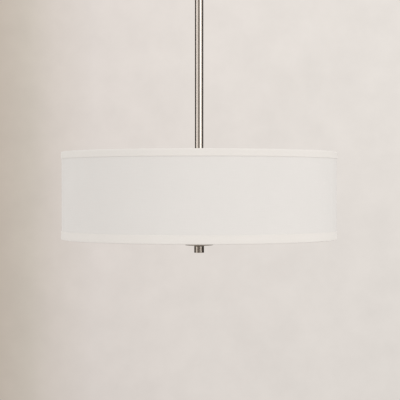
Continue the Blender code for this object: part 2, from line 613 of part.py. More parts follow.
def make_swivel_eye(nickel, hanging_frame):
    """The tilting half: a flat tongue on a shoulder, with a stub that goes into the upper rod."""
    shoulder = -EYE_NECK
    shoulder_end = shoulder - EYE_SHOULDER_HEIGHT
    taper_end = shoulder_end - EYE_TAPER_HEIGHT
    stub_end = taper_end - EYE_STUB_LENGTH
    edge = ROD_PLUG_RADIUS - PIPE_CHAMFER
    profile = [
        (PIPE_BORE_RADIUS, shoulder),
        (EYE_SHOULDER_RADIUS, shoulder),
        (EYE_SHOULDER_RADIUS, shoulder_end),
        (ROD_RADIUS, taper_end),
        (ROD_PLUG_RADIUS, taper_end),
        (ROD_PLUG_RADIUS, stub_end + PIPE_CHAMFER),
        (edge, stub_end),
        (PIPE_BORE_RADIUS, stub_end),
    ]
    eye = place(turned("swivel_eye", profile, BODY_SEGMENTS, nickel), hanging_frame)
    low = shoulder - EYE_SHOULDER_HEIGHT / 2
    outline = [(-low, -TONGUE_RADIUS)]
    outline += arc((0.0, 0.0), TONGUE_RADIUS, 270, 90, TONGUE_STEPS)
    outline += [(-low, TONGUE_RADIUS)]
    tongue = prism("eye_tongue", outline, -TONGUE_HALF, TONGUE_HALF, nickel)
    tongue.rotation_euler = (0.0, math.pi / 2, 0.0)
    join(eye, place(tongue, eye))
    top = TONGUE_RADIUS + CUT_OVERRUN
    drill(eye, "eye_wire_bore", EYE_WIRE_BORE_RADIUS, low - CUT_OVERRUN, top, nickel)
    reach = TONGUE_HALF + CUT_OVERRUN
    hole = PIVOT_PIN_RADIUS + BORE_GAP
    cross = [(0.0, -reach), (hole, -reach), (hole, reach), (0.0, reach)]
    tool = place(round_tool("eye_cross_hole", cross, nickel), eye)
    tool.rotation_euler = (0.0, math.pi / 2, 0.0)
    cut(eye, tool)


def make_stem(nickel, steel, hanging_frame):
    rod = ring_profile(ROD_BORE_RADIUS, ROD_RADIUS, UPPER_ROD_LENGTH)
    upper = turned("upper_rod", rod, BODY_SEGMENTS, nickel)
    place(upper, hanging_frame, z=UPPER_ROD_TOP_Z - PIVOT_Z)
    rod = ring_profile(ROD_BORE_RADIUS, ROD_RADIUS, LOWER_ROD_LENGTH)
    lower = turned("lower_rod", rod, BODY_SEGMENTS, nickel)
    place(lower, hanging_frame, z=ROD_JOINT_Z - PIVOT_Z)
    sleeve_profile = ring_profile(PIPE_BORE_RADIUS, ROD_PLUG_RADIUS, SLEEVE_LENGTH)
    sleeve = turned("rod_sleeve", sleeve_profile, SMALL_SEGMENTS, steel)
    place(sleeve, hanging_frame, z=ROD_JOINT_Z + SLEEVE_LENGTH / 2 - PIVOT_Z)
    bushing_profile = ring_profile(PIPE_HOLE_RADIUS, ROD_PLUG_RADIUS, BUSHING_LENGTH)
    bushing = turned("rod_bushing", bushing_profile, SMALL_SEGMENTS, steel)
    place(bushing, hanging_frame, z=ROD_END_Z + BUSHING_LENGTH - PIVOT_Z)
    collar_profile = ring_profile(
        PIPE_HOLE_RADIUS, STEM_COLLAR_RADIUS, STEM_COLLAR_HEIGHT, STEM_COLLAR_EDGE
    )
    collar = turned("stem_collar", collar_profile, BODY_SEGMENTS, nickel)
    place(collar, hanging_frame, z=STEM_COLLAR_TOP_Z - PIVOT_Z)
    pipe_top = ROD_END_Z + PIPE_IN_ROD
    pipe_end = FINIAL_TOP_Z - PIPE_IN_FINIAL
    pipe = turned("centre_pipe", pipe_profile(pipe_end - pipe_top, 0.0), SMALL_SEGMENTS, steel)
    place(pipe, hanging_frame, z=pipe_top - PIVOT_Z)
    hole = [(0.0, 0.0), (WIRE_HOLE_RADIUS, 0.0), (WIRE_HOLE_RADIUS, ARM_START), (0.0, ARM_START)]
    tool = round_tool("pipe_wire_hole", hole, steel)
    tool.rotation_euler = (0.0, math.pi / 2, arm_azimuth(0))
    cut(pipe, place(tool, pipe, z=ARM_Z - pipe_top))


def ring_of_wire(name, steel):
    """A shade ring of round wire, centred on its own origin."""
    section = arc((RING_RADIUS, 0.0), RING_WIRE_RADIUS, 0, 360, WIRE_SEGMENTS)[:-1]
    return turned(name, section, DRUM_SEGMENTS, steel)


def spoke_wire(name, steel, drop):
    """One spoke as a bent wire: straight down from the ring, round a bend, and in to the hub."""
    bend_centre = (RING_RADIUS - SPOKE_BEND, SPOKE_BEND - drop)
    route = [(RING_RADIUS, 0.0)]
    route += arc(bend_centre, SPOKE_BEND, 0, -90, CORNER_STEPS)
    route += [(STEM_COLLAR_RADIUS + SPOKE_COLLAR_GAP, -drop)]
    wire = bpy.data.curves.new(name, "CURVE")
    wire.dimensions = "3D"
    wire.bevel_depth = SPOKE_RADIUS
    wire.bevel_resolution = 1
    wire.use_fill_caps = True
    spline = wire.splines.new("POLY")
    spline.points.add(len(route) - 1)
    for point, (radius, height) in zip(spline.points, route):
        point.co = (radius, 0.0, height, 1.0)
        point.tilt = CUTTER_TWIST
    bent = bpy.data.objects.new(name, wire)
    mesh_data = bmesh.new()
    mesh_data.from_mesh(bent.to_mesh())
    bent.to_mesh_clear()
    bpy.data.objects.remove(bent)
    return solid(name, mesh_data, steel)


def make_shade_frame(steel, hanging_frame):
    """The top ring with its welded spokes and hub, and the loose bottom ring."""
    ring_z = TOP_RIM_Z - RING_DEPTH
    top = place(ring_of_wire("top_ring_and_spider", steel), hanging_frame, z=ring_z - PIVOT_Z)
    for number in range(SPOKE_COUNT):
        spoke = place(spoke_wire(f"spoke_{number + 1}", steel, ring_z - SPOKE_Z), top)
        spoke.rotation_euler = (0.0, 0.0, spoke_azimuth(number))
        join(top, spoke)
    hub_profile = ring_profile(PIPE_HOLE_RADIUS, HUB_RADIUS, HUB_THICKNESS)
    hub = place(turned("spider_hub", hub_profile, BODY_SEGMENTS, steel), top, z=HUB_TOP_Z - ring_z)
    join(top, hub)
    bottom = ring_of_wire("bottom_ring", steel)
    place(bottom, hanging_frame, z=BOTTOM_RIM_Z + RING_DEPTH - PIVOT_Z)


def trim_profile(height, up):
    """A band folded over a ring, from the rim at height 0. up is -1 for the top band, 1 for the bottom."""
    roll = (DRUM_RADIUS - TRIM_ROLL, -TRIM_ROLL)
    wrap = (RING_RADIUS, -RING_DEPTH)
    points = [(DRUM_RADIUS, -height)]
    points += arc(roll, TRIM_ROLL, 0, 90, 1)
    points += arc(wrap, RING_DEPTH, 90, 180, CORNER_STEPS)
    points += [(TRIM_INNER_RADIUS, -TRIM_INNER_HEIGHT)]
    points += [(TRIM_INNER_RADIUS + TRIM_THICKNESS, -TRIM_INNER_HEIGHT)]
    points += arc(wrap, RING_DEPTH - TRIM_THICKNESS, 180, 90, CORNER_STEPS)
    points += [(DRUM_RADIUS - TRIM_THICKNESS, -TRIM_THICKNESS)]
    points += [(DRUM_RADIUS - TRIM_THICKNESS, -height)]
    return [(radius, -up * depth) for radius, depth in points]


def make_shade_cloth(linen, hanging_frame):
    skin_end = TRIM_THICKNESS + SEAT_GAP
    skin_profile = ring_profile(SKIN_INNER_RADIUS, SKIN_RADIUS, DRUM_HEIGHT - skin_end * 2)
    skin = turned("shade_skin", skin_profile, DRUM_SEGMENTS, linen)
    place(skin, hanging_frame, z=TOP_RIM_Z - skin_end - PIVOT_Z)
    top = turned("top_trim", trim_profile(TOP_TRIM_HEIGHT, -1), DRUM_SEGMENTS, linen)
    place(top, hanging_frame, z=TOP_RIM_Z - PIVOT_Z)
    bottom = turned("bottom_trim", trim_profile(BOTTOM_TRIM_HEIGHT, 1), DRUM_SEGMENTS, linen)
    place(bottom, hanging_frame, z=BOTTOM_RIM_Z - PIVOT_Z)


def arm_azimuth(number):
    return math.pi / 2 + math.tau * number / ARM_COUNT


def spoke_azimuth(number):
    """The spokes stand between the arms."""
    return math.tau / (ARM_COUNT * 2) + arm_azimuth(number)


def make_cluster(nickel, steel, hanging_frame):
    """The cup that the arms screw into, its cover, and the nut that clamps both on the pipe."""
    inner = CLUSTER_RADIUS - CLUSTER_WALL
    corner_centre = (CLUSTER_RADIUS - CLUSTER_CORNER, -CLUSTER_CORNER)
    profile = [(CLUSTER_RADIUS, -CLUSTER_HEIGHT)]
    profile += arc(corner_centre, CLUSTER_CORNER, 0, 90, CORNER_STEPS)
    profile += [(PIPE_HOLE_RADIUS, 0.0), (PIPE_HOLE_RADIUS, -CLUSTER_WALL)]
    profile += arc(corner_centre, CLUSTER_CORNER - CLUSTER_WALL, 90, 0, CORNER_STEPS)
    profile += [(inner, -CLUSTER_HEIGHT)]
    body = turned("cluster_body", profile, BODY_SEGMENTS, nickel)
    place(body, hanging_frame, z=CLUSTER_TOP_Z - PIVOT_Z)
    for number in range(ARM_COUNT):
        hole = [(0.0, ARM_START), (PIPE_HOLE_RADIUS, ARM_START)]
        hole += [(PIPE_HOLE_RADIUS, HOLDER_START), (0.0, HOLDER_START)]
        tool = round_tool(f"cluster_hole_{number + 1}", hole, nickel)
        tool.rotation_euler = (0.0, math.pi / 2, arm_azimuth(number))
        cut(body, place(tool, body, z=-CLUSTER_HEIGHT / 2))
    lip = inner - BORE_GAP
    cover_profile = [
        (PIPE_HOLE_RADIUS, 0.0),
        (lip - COVER_LIP_WALL, 0.0),
        (lip - COVER_LIP_WALL, COVER_LIP_HEIGHT),
        (lip, COVER_LIP_HEIGHT),
        (lip, 0.0),
        (CLUSTER_RADIUS, 0.0),
        (CLUSTER_RADIUS, -COVER_THICKNESS),
        (PIPE_HOLE_RADIUS, -COVER_THICKNESS),
    ]
    cover = turned("cluster_cover", cover_profile, BODY_SEGMENTS, nickel)
    place(cover, hanging_frame, z=COVER_TOP_Z - PIVOT_Z)
    nut = hex_nut("cluster_nut", PIPE_HOLE_RADIUS, PIPE_NUT_FLAT, PIPE_NUT_HEIGHT, steel)
    place(nut, hanging_frame, z=CLUSTER_NUT_TOP_Z - PIVOT_Z)


def holder_profile():
    """A lampholder from its back, at height 0, out to its mouth."""
    neck_radius = HOLDER_RADIUS - HOLDER_NECK_STEP
    neck_end = HOLDER_NECK_LENGTH
    mouth = HOLDER_FLOOR + SEAT_GAP + SHELL_LENGTH + SHELL_MOUTH_INSET
    return [
        (PIPE_HOLE_RADIUS, 0.0),
        (neck_radius - HOLDER_NECK_STEP, 0.0),
        (neck_radius, HOLDER_NECK_STEP),
        (neck_radius, neck_end),
        (HOLDER_RADIUS, neck_end + HOLDER_NECK_STEP),
        (HOLDER_RADIUS, mouth - HOLDER_MOUTH_EDGE),
        (HOLDER_RADIUS - HOLDER_MOUTH_EDGE, mouth),
        (HOLDER_BORE_RADIUS, mouth),
        (HOLDER_BORE_RADIUS, HOLDER_FLOOR),
        (PIPE_HOLE_RADIUS, HOLDER_FLOOR),
    ]


def arm_profile():
    """A nipple of lamp pipe with a collar that keeps the lampholder off the cluster."""
    end = HOLDER_START + ARM_IN_HOLDER
    collar_radius = PIPE_RADIUS + ARM_COLLAR_LIP
    collar_end = ARM_COLLAR_START + ARM_COLLAR_WIDTH
    return [
        (PIPE_BORE_RADIUS, ARM_START),
        (PIPE_RADIUS, ARM_START),
        (PIPE_RADIUS, ARM_COLLAR_START),
        (collar_radius, ARM_COLLAR_START),
        (collar_radius, collar_end),
        (PIPE_RADIUS, collar_end),
        (PIPE_RADIUS, end),
        (PIPE_BORE_RADIUS, end),
    ]


def shell_profile():
    """A screw shell: a thin cup with a hole in its floor for the centre contact."""
    return [
        (SHELL_CONTACT_HOLE, 0.0),
        (SHELL_RADIUS, 0.0),
        (SHELL_RADIUS, SHELL_LENGTH),
        (SHELL_INNER_RADIUS, SHELL_LENGTH),
        (SHELL_INNER_RADIUS, SHELL_WALL),
        (SHELL_CONTACT_HOLE, SHELL_WALL),
    ]


def bulb_base_profile():
    """The contact tip, the insulator's cone and the threaded shell, hollow above the cone."""
    cone_start = BULB_TIP_HEIGHT
    cone_end = cone_start + BULB_BASE_CONE
    end = cone_end + BULB_BASE_THREAD
    inner_radius = BULB_BASE_RADIUS - BULB_BASE_WALL
    return [
        (0.0, 0.0),
        (BULB_TIP_RADIUS, 0.0),
        (BULB_TIP_RADIUS, cone_start),
        (BULB_BASE_CONE_RADIUS, cone_start),
        (BULB_BASE_RADIUS, cone_end),
        (BULB_BASE_RADIUS, end),
        (inner_radius, end),
        (inner_radius, cone_end),
        (0.0, cone_end),
    ]


def bulb_glass_profile():
    """A thin glass wall, open at the neck: the neck's curve and then a half round crown."""
    crown_start = BULB_GLASS_LENGTH - BULB_RADIUS
    inner_radius = BULB_RADIUS - BULB_GLASS_WALL
    neck = [(radius * BULB_RADIUS, length * crown_start) for length, radius in BULB_NECK_SHARES]
    outside = neck + arc((0.0, crown_start), BULB_RADIUS, 0, 90, BULB_CROWN_STEPS)
    inside = arc((0.0, crown_start), inner_radius, 90, 0, BULB_CROWN_STEPS)
    inside += [(radius - BULB_GLASS_WALL, height) for radius, height in reversed(neck)]
    return outside + inside


def make_arms(steel, phenolic, brass, glass, hanging_frame):
    """Each arm's own frame has its Z axis along the arm, outwards from the centre pipe."""
    for number in range(ARM_COUNT):
        label = number + 1
        arm_frame = frame(
            f"arm_axis_{label}", hanging_frame, ARM_Z - PIVOT_Z, math.pi / 2, arm_azimuth(number)
        )
        place(turned(f"socket_arm_{label}", arm_profile(), SMALL_SEGMENTS, steel), arm_frame)
        holder = turned(f"lampholder_{label}", holder_profile(), SOCKET_SEGMENTS, phenolic)
        place(holder, arm_frame, z=HOLDER_START)
        shell = turned(f"screw_shell_{label}", shell_profile(), SOCKET_SEGMENTS, brass)
        place(shell, arm_frame, z=SHELL_START)
        bulb_frame = frame(f"bulb_axis_{label}", arm_frame, BULB_START)
        base = turned(f"bulb_base_{label}", bulb_base_profile(), SMALL_SEGMENTS, steel)
        place(base, bulb_frame)
        globe = turned(f"bulb_glass_{label}", bulb_glass_profile(), SOCKET_SEGMENTS, glass)
        place(globe, bulb_frame, z=GLASS_START - BULB_START)


def make_diffuser_stack(nickel, steel, acrylic, hanging_frame, drop_frame):
    """The stop nut and washer stay on the pipe. The diffuser and its cup come down with the finial."""
    nut = hex_nut("diffuser_nut", PIPE_HOLE_RADIUS, PIPE_NUT_FLAT, PIPE_NUT_HEIGHT, steel)
    place(nut, hanging_frame, z=DIFFUSER_NUT_TOP_Z - PIVOT_Z)
    washer_profile = ring_profile(
        PIPE_HOLE_RADIUS, DIFFUSER_WASHER_RADIUS, DIFFUSER_WASHER_THICKNESS
    )
    washer = turned("diffuser_washer", washer_profile, SOCKET_SEGMENTS, steel)
    place(washer, hanging_frame, z=DIFFUSER_WASHER_TOP_Z - PIVOT_Z)
    disc_profile = ring_profile(PIPE_HOLE_RADIUS, DIFFUSER_RADIUS, DIFFUSER_THICKNESS)
    disc = turned("diffuser", disc_profile, DRUM_SEGMENTS, acrylic)
    place(disc, drop_frame, z=DIFFUSER_TOP_Z - FINIAL_TOP_Z)
    depth = CUP_TOP_Z - CUP_BOTTOM_Z
    corner_centre = (CUP_RADIUS - CUP_CORNER, CUP_CORNER)
    cup_profile = [(PIPE_HOLE_RADIUS, 0.0)]
    cup_profile += arc(corner_centre, CUP_CORNER, -90, 0, CORNER_STEPS)
    cup_profile += [(CUP_RADIUS, depth), (CUP_RADIUS - CUP_WALL, depth)]
    cup_profile += arc(corner_centre, CUP_CORNER - CUP_WALL, 0, -90, CORNER_STEPS)
    cup_profile += [(PIPE_HOLE_RADIUS, CUP_WALL)]
    cup = turned("diffuser_cup", cup_profile, BODY_SEGMENTS, nickel)
    place(cup, drop_frame, z=CUP_BOTTOM_Z - FINIAL_TOP_Z)


def make_finial(nickel, drop_frame):
    """A plain cylinder with a blind threaded hole in its top."""
    hole_end = FINIAL_END_WALL - FINIAL_HEIGHT
    profile = [
        (0.0, hole_end),
        (PIPE_HOLE_RADIUS, hole_end),
        (PIPE_HOLE_RADIUS, 0.0),
        (FINIAL_RADIUS - FINIAL_EDGE, 0.0),
        (FINIAL_RADIUS, -FINIAL_EDGE),
        (FINIAL_RADIUS, FINIAL_EDGE - FINIAL_HEIGHT),
        (FINIAL_RADIUS - FINIAL_EDGE, -FINIAL_HEIGHT),
        (0.0, -FINIAL_HEIGHT),
    ]
    finial_frame = frame("finial_axis", drop_frame)
    place(turned("finial", profile, BODY_SEGMENTS, nickel), finial_frame)


def build():
    clear_scene()
    nickel = material("brushed_nickel", (0.56, 0.53, 0.50), 0.32, 1.0)
    steel = material("zinc_steel", (0.50, 0.50, 0.49), 0.45, 1.0)
    ground_green = material("green_ground_screw", (0.03, 0.22, 0.08), 0.45, 1.0)
    linen = material("white_linen", (0.78, 0.74, 0.70), 0.90)
    acrylic = material("frosted_acrylic", (0.86, 0.85, 0.82), 0.55)
    phenolic = material("cream_lampholder", (0.72, 0.68, 0.60), 0.50)
    brass = material("brass_shell", (0.72, 0.52, 0.25), 0.35, 1.0)
    glass = material("opal_glass", (0.90, 0.89, 0.86), 0.35)

    make_crossbar(steel)
    make_ceiling_screws(steel, ground_green)
    nut_top = make_canopy(nickel, steel)
    make_swivel_stud(steel, nut_top + STUD_TOP_STANDOUT)
    make_swivel_collar(nickel)

    yoke_frame = frame("swivel_turn_axis", z=YOKE_TOP_Z)
    make_swivel_yoke(nickel, yoke_frame)
    make_pivot_pins(steel, yoke_frame)

    hanging_frame = frame("swivel_tilt_axis", yoke_frame, PIVOT_Z - YOKE_TOP_Z)
    make_swivel_eye(nickel, hanging_frame)
    make_stem(nickel, steel, hanging_frame)
    make_shade_frame(steel, hanging_frame)
    make_shade_cloth(linen, hanging_frame)
    make_cluster(nickel, steel, hanging_frame)
    make_arms(steel, phenolic, brass, glass, hanging_frame)

    drop_frame = frame("diffuser_drop_axis", hanging_frame, FINIAL_TOP_Z - PIVOT_Z)
    make_diffuser_stack(nickel, steel, acrylic, hanging_frame, drop_frame)
    make_finial(nickel, drop_frame)


build()
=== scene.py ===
"""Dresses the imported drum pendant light: finer shapes, cloth, metal and glass, soft light and the camera.

Lengths are metres. The light hangs down -Z from the ceiling's plane, and the camera looks along +Y.
"""

import math

import bmesh
import bpy
from mathutils import Matrix, Vector


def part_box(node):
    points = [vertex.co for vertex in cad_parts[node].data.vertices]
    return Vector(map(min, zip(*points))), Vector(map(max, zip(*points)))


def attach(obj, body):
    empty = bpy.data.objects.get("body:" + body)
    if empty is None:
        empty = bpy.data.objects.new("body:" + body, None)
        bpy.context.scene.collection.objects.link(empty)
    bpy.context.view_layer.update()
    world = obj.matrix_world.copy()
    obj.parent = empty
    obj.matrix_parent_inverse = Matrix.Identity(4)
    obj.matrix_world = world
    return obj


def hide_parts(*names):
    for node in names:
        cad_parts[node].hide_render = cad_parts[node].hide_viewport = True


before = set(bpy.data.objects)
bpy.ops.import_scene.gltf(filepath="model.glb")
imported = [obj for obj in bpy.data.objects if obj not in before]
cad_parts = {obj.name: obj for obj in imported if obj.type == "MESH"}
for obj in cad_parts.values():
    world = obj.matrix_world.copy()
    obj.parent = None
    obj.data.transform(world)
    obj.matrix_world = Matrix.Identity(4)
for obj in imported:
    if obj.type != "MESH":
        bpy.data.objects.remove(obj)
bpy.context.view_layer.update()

# How finely round shapes are drawn
DRUM_SEGMENTS = 240
FLOOR_SEGMENTS = 96
BODY_SEGMENTS = 72
SMALL_SEGMENTS = 40
SCREW_SEGMENTS = 20
WIRE_SEGMENTS = 14
ROWS_PER_THREAD = 6
BULB_THREAD_ROWS = 56
SHARP_ANGLE = math.radians(40)
TINY = 1e-7

# Softened edges
FINE_EDGE = 0.0003
METAL_EDGE = 0.0005
SOFT_EDGE = 0.0010
# Corners flatter than this angle stay, and a rounding takes at most this share of each side
FLAT_CORNER = math.radians(155)
CORNER_SHARE = 0.45
# A side this many times longer than its rounding gets a point beyond the rounding's end
LONG_STRAIGHT = 6.0
GUARD_SHARE = 0.4

# Paired pieces: the end of their names, and the sign of their X
SIDES = (("left", -1), ("right", 1))

# Sizes that the solids have too
SEAT_GAP = 0.0003
PIPE_RADIUS = 0.0050
PIPE_BORE_RADIUS = 0.0033
PIPE_HOLE_RADIUS = 0.0053
PIPE_CHAMFER = 0.0004
PIPE_PITCH = 0.00094
PIPE_NUT_FLAT = 0.0074
SCREW_NUT_FLAT = 0.0044
SCREW_RADIUS = 0.0021
SCREW_HEAD_RADIUS = 0.0040
SCREW_HEAD_HEIGHT = 0.0024
SCREW_HOLE_RADIUS = 0.0024
SCREW_PITCH = 0.00079
SCREW_THREAD_DEPTH = 0.00032
SCREW_RECESS_WIDTH = 0.0009
SCREW_RECESS_LENGTH = 0.0046
SCREW_RECESS_DEPTH = 0.0013
CANOPY_SCREW_X = 0.0300
CANOPY_WALL = 0.0012
CANOPY_CORNER = 0.0060
CAP_NUT_RADIUS = 0.0055
CAP_NUT_FOOT_RADIUS = 0.0048
CAP_NUT_FOOT_HEIGHT = 0.0030
CAP_NUT_HOLE_DEPTH = 0.0070
CAP_NUT_NECK_DEGREES = 50
CROSSBAR_WIDTH = 0.0240
CROSSBAR_CORNER = 0.0040
BOX_SCREW_X = 0.04445
BOX_SLOT_LENGTH = 0.0130
GROUND_SCREW_X = 0.0160
GROUND_SCREW_Y = -0.0060
GROOVE_INNER_RADIUS = 0.0073
GROOVE_OUTER_RADIUS = 0.0109
GROOVE_DEPTH = 0.0032
STOP_PIN_RADIUS = 0.0012
STOP_PIN_HEIGHT = 0.0026
STOP_PIN_GAP = 0.0006
STUD_HEAD_RADIUS = 0.0075
STUD_HEAD_HEIGHT = 0.0030
STUD_RECESS_RADIUS = 0.0081
YOKE_PLATE = 0.0040
SLOT_HALF = 0.0063
TONGUE_HALF = 0.0060
TONGUE_RADIUS = 0.0080
PIVOT_PIN_RADIUS = 0.0025
PIVOT_HEAD_RADIUS = 0.0040
PIVOT_HEAD_SINK = 0.0022
EYE_SHOULDER_RADIUS = 0.0104
EYE_SHOULDER_HEIGHT = 0.0040
EYE_TAPER_HEIGHT = 0.0080
EYE_WIRE_BORE_RADIUS = 0.0030
ROD_WALL = 0.0013
SKIN_WALL = 0.0012
TRIM_THICKNESS = 0.0010
TRIM_ROLL = 0.0016
TRIM_INNER_HEIGHT = 0.0080
TOP_TRIM_HEIGHT = 0.0127
BOTTOM_TRIM_HEIGHT = 0.0155
RING_WIRE_RADIUS = 0.0020
SPOKE_RADIUS = 0.0018
SPOKE_BEND = 0.0060
SPOKE_INNER_RADIUS = 0.0140
SPOKE_LIFT = 0.0004
SPOKE_DEGREES = (30, 150, 270)
HUB_THICKNESS = 0.0020
HUB_RADIUS = 0.0190
CLUSTER_WALL = 0.0015
CLUSTER_CORNER = 0.0040
COVER_THICKNESS = 0.0020
COVER_LIP_HEIGHT = 0.0030
COVER_LIP_WALL = 0.0015
ARM_START = 0.0225
ARM_COLLAR_START = 0.0283
ARM_COLLAR_WIDTH = 0.0030
ARM_COLLAR_RADIUS = 0.0075
ARM_IN_HOLDER = 0.0060
HOLDER_START = 0.0316
HOLDER_FLOOR = 0.0080
HOLDER_RADIUS = 0.0185
HOLDER_BORE_RADIUS = 0.0144
HOLDER_NECK_STEP = 0.0015
HOLDER_NECK_LENGTH = 0.0100
HOLDER_LENGTH = 0.0380
SHELL_START = 0.0399
SHELL_LENGTH = 0.0277
SHELL_WALL = 0.0006
SHELL_RADIUS = 0.0141
SHELL_CONTACT_HOLE = 0.0060
BULB_START = 0.0408
BULB_TIP_HEIGHT = 0.0015
BULB_TIP_RADIUS = 0.0045
BULB_CONE_HEIGHT = 0.0040
BULB_CONE_RADIUS = 0.0070
BULB_BASE_RADIUS = 0.0130
BULB_BASE_WALL = 0.0010
BULB_THREAD_LENGTH = 0.0200
BULB_THREAD_PITCH = 0.0036286
BULB_THREAD_DEPTH = 0.0008
GLASS_START = 0.0666
GLASS_LENGTH = 0.0820
GLASS_RADIUS = 0.0300
# (share of the length below the crown, share of the bulb's radius), from the neck up
BULB_NECK_SHARES = ((0.0, 0.43), (0.2, 0.46), (0.55, 0.73), (0.8, 0.93))
CUP_WALL = 0.0012
CUP_CORNER = 0.0020
CUP_DOME = 0.0012
CUP_FLAT_RADIUS = 0.0100
FINIAL_END_WALL = 0.0032

# The weld beads where the spider's spokes meet the ring and the hub
BEAD_RADIUS = 0.0027
BEAD_HALF_HEIGHT = 0.0024
BEAD_CORNER = 0.0020
BEAD_SINK = 0.0002

# The cloth, with its glued laps at the back, which rise and fade over shares of their width
THREAD_PITCH = 0.0009
LAP_WIDTH = 0.0120
LAP_STEP = 0.0006
LAP_RISE = 0.02
LAP_FADE = 0.6
LAP_DEPTH = SKIN_WALL * 0.6
BAND_LAP_WIDTH = LAP_WIDTH * 0.8
BAND_LAP_STEP = LAP_STEP * 0.6
# A band's outer flap thins to its edge, which wanders: (waves round the drum, height, times the phase)
BAND_LEAN = 0.0003
BAND_WANDER = ((7, 0.00022, 1), (19, 0.00012, 2))
BAND_STEADY_SHARE = 0.6
# The linen stands proud of its solid by this much, which brings it close to the bands
SKIN_PROUD = 0.0002

# The camera, fitted to the photograph: the drum's two rims, its width and the stem
CAMERA_DISTANCE = 2.4105
CAMERA_HEIGHT = -0.584
CAMERA_LENS = 117.36
SENSOR_WIDTH = 36.0
CAMERA_PITCH = math.radians(0.4965)
CAMERA_YAW = math.radians(0.0374)

# The lamps by name, azimuth, elevation, distance, width, height and watts
STUDIO_CENTRE = Vector((0.0, 0.0, -0.45))
LAMP_COLOUR = (1.0, 0.985, 0.97)
LAMPS = (
    ("key", 43, 19, 3.0, 1.10, 3.0, 22.4),
    ("fill", -60, 12, 3.2, 0.8, 2.8, 9.5),
)
# The cards that the metal reflects, by name, azimuth, width, top and colour
CARD_DISTANCE = 3.4
CARD_FOOT = -2.6
CARD_TOP = 1.8
CARD_LOW_TOP = -0.69
CARDS = (
    ("dark_card_left", -117, 3.4, CARD_TOP, (0.015, 0.013, 0.012)),
    ("dark_card_right", 114, 3.9, CARD_TOP, (0.015, 0.013, 0.012)),
    ("dark_card_front", -8, 1.3, CARD_TOP, (0.13, 0.115, 0.10)),
    ("dark_card_low_right", 51, 5.6, CARD_LOW_TOP, (0.10, 0.084, 0.07)),
    ("dark_card_low_left", -46, 6.2, CARD_LOW_TOP, (0.44, 0.40, 0.36)),
    ("pale_card_low", 33, 0.8, CARD_LOW_TOP, (0.34, 0.30, 0.27)),
)
# The backdrop's colour by the direction's X: a soft shadow lies on the left of the photograph's wall
BACKDROP_COLOURS = (
    (-0.60, (228, 221, 214)),
    (-0.30, (214, 205, 196)),
    (-0.16, (188, 176, 164)),
    (-0.13, (200, 191, 180)),
    (-0.11, (211, 202, 194)),
    (-0.08, (220, 212, 206)),
    (0.00, (225, 218, 212)),
    (0.16, (227, 221, 215)),
)
# The backdrop is a little lighter towards the top, and mottled like plaster
BACKDROP_RISE = 0.055
BACKDROP_RISE_TO = 0.16
MOTTLE_SCALE = (45.0, 45.0, 45.0)
MOTTLE_DEPTH = 0.06
# The soft light on the object by height, from straight down (0) to straight up (1)
WORLD_STRENGTHS = ((0.0, 0.315), (0.5, 1.0), (1.0, 0.735))
WORLD_COLOUR = (1.0, 0.985, 0.965)
# The floor lies so low that a view straight up from below still stands above it
FLOOR_HEIGHT = -4.20
FLOOR_RADIUS = 4.20
FLOOR_FADE_START = FLOOR_RADIUS * 0.55
FLOOR_FADE_END = FLOOR_RADIUS * 0.98


def linear(red, green, blue):
    """A linear colour from sRGB levels of 0 to 255."""
    levels = []
    for level in (red, green, blue):
        share = level / 255
        levels.append(share / 12.92 if share <= 0.04045 else ((share + 0.055) / 1.055) ** 2.4)
    return tuple(levels)


def span(node):
    """A turned node's radius, its lowest height and its highest."""
    low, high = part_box(node)
    return high.x, low.z, high.z


# Materials


def feed(look, node, inputs):
    """Sets a node's sockets to values, or links them where the value is a socket."""
    for key, value in inputs.items():
        if isinstance(value, bpy.types.NodeSocket):
            look.node_tree.links.new(value, node.inputs[key])
        else:
            node.inputs[key].default_value = value


def add_node(look, kind, inputs=None, **settings):
    node = look.node_tree.nodes.new(kind)
    for name, value in settings.items():
        setattr(node, name, value)
    feed(look, node, inputs or {})
    return node


def show(look, shader, output="Material Output"):
    feed(look, look.node_tree.nodes[output], {"Surface": shader})


def calculate(look, operation, first, second=0.0, third=0.0):
    inputs = {0: first, 1: second, 2: third}
    return add_node(look, "ShaderNodeMath", inputs, operation=operation).outputs[0]


def weighted(look, first, share, second):
    """Adds two values, the first by its share and the second by the rest."""
    rest = calculate(look, "MULTIPLY", second, 1.0 - share)
    return calculate(look, "MULTIPLY_ADD", first, share, rest)


def sine(look, value, length):
    """A wave from -1 to 1 that repeats after each length."""
    return calculate(look, "SINE", calculate(look, "MULTIPLY", value, math.tau / length))


def colour_between(look, share, first, second):
    """Mixes two linear colours by a share."""
    inputs = {0: share, 6: (*first, 1.0), 7: (*second, 1.0)}
    return add_node(look, "ShaderNodeMix", inputs, data_type="RGBA").outputs[2]


def level_between(look, value, low, high, start=0.0, end=1.0, kind="LINEAR"):
    """Takes a value from between start and end to between low and high."""
    inputs = {0: value, 1: start, 2: end, 3: low, 4: high}
    return add_node(look, "ShaderNodeMapRange", inputs, interpolation_type=kind).outputs[0]


def streaks(look, coordinates, scale, detail=3.0):
    """Noise stretched by a scale for each axis, from about 0 to 1."""
    inputs = {"Vector": coordinates, "Scale": scale}
    stretched = add_node(look, "ShaderNodeMapping", inputs).outputs[0]
    inputs = {"Vector": stretched, "Scale": 1.0, "Detail": detail, "Roughness": 0.6}
    return add_node(look, "ShaderNodeTexNoise", inputs).outputs[0]


def new_look(name, coordinates):
    look = bpy.data.materials.new(name)
    look.use_nodes = True
    return look, add_node(look, "ShaderNodeTexCoord").outputs[coordinates]


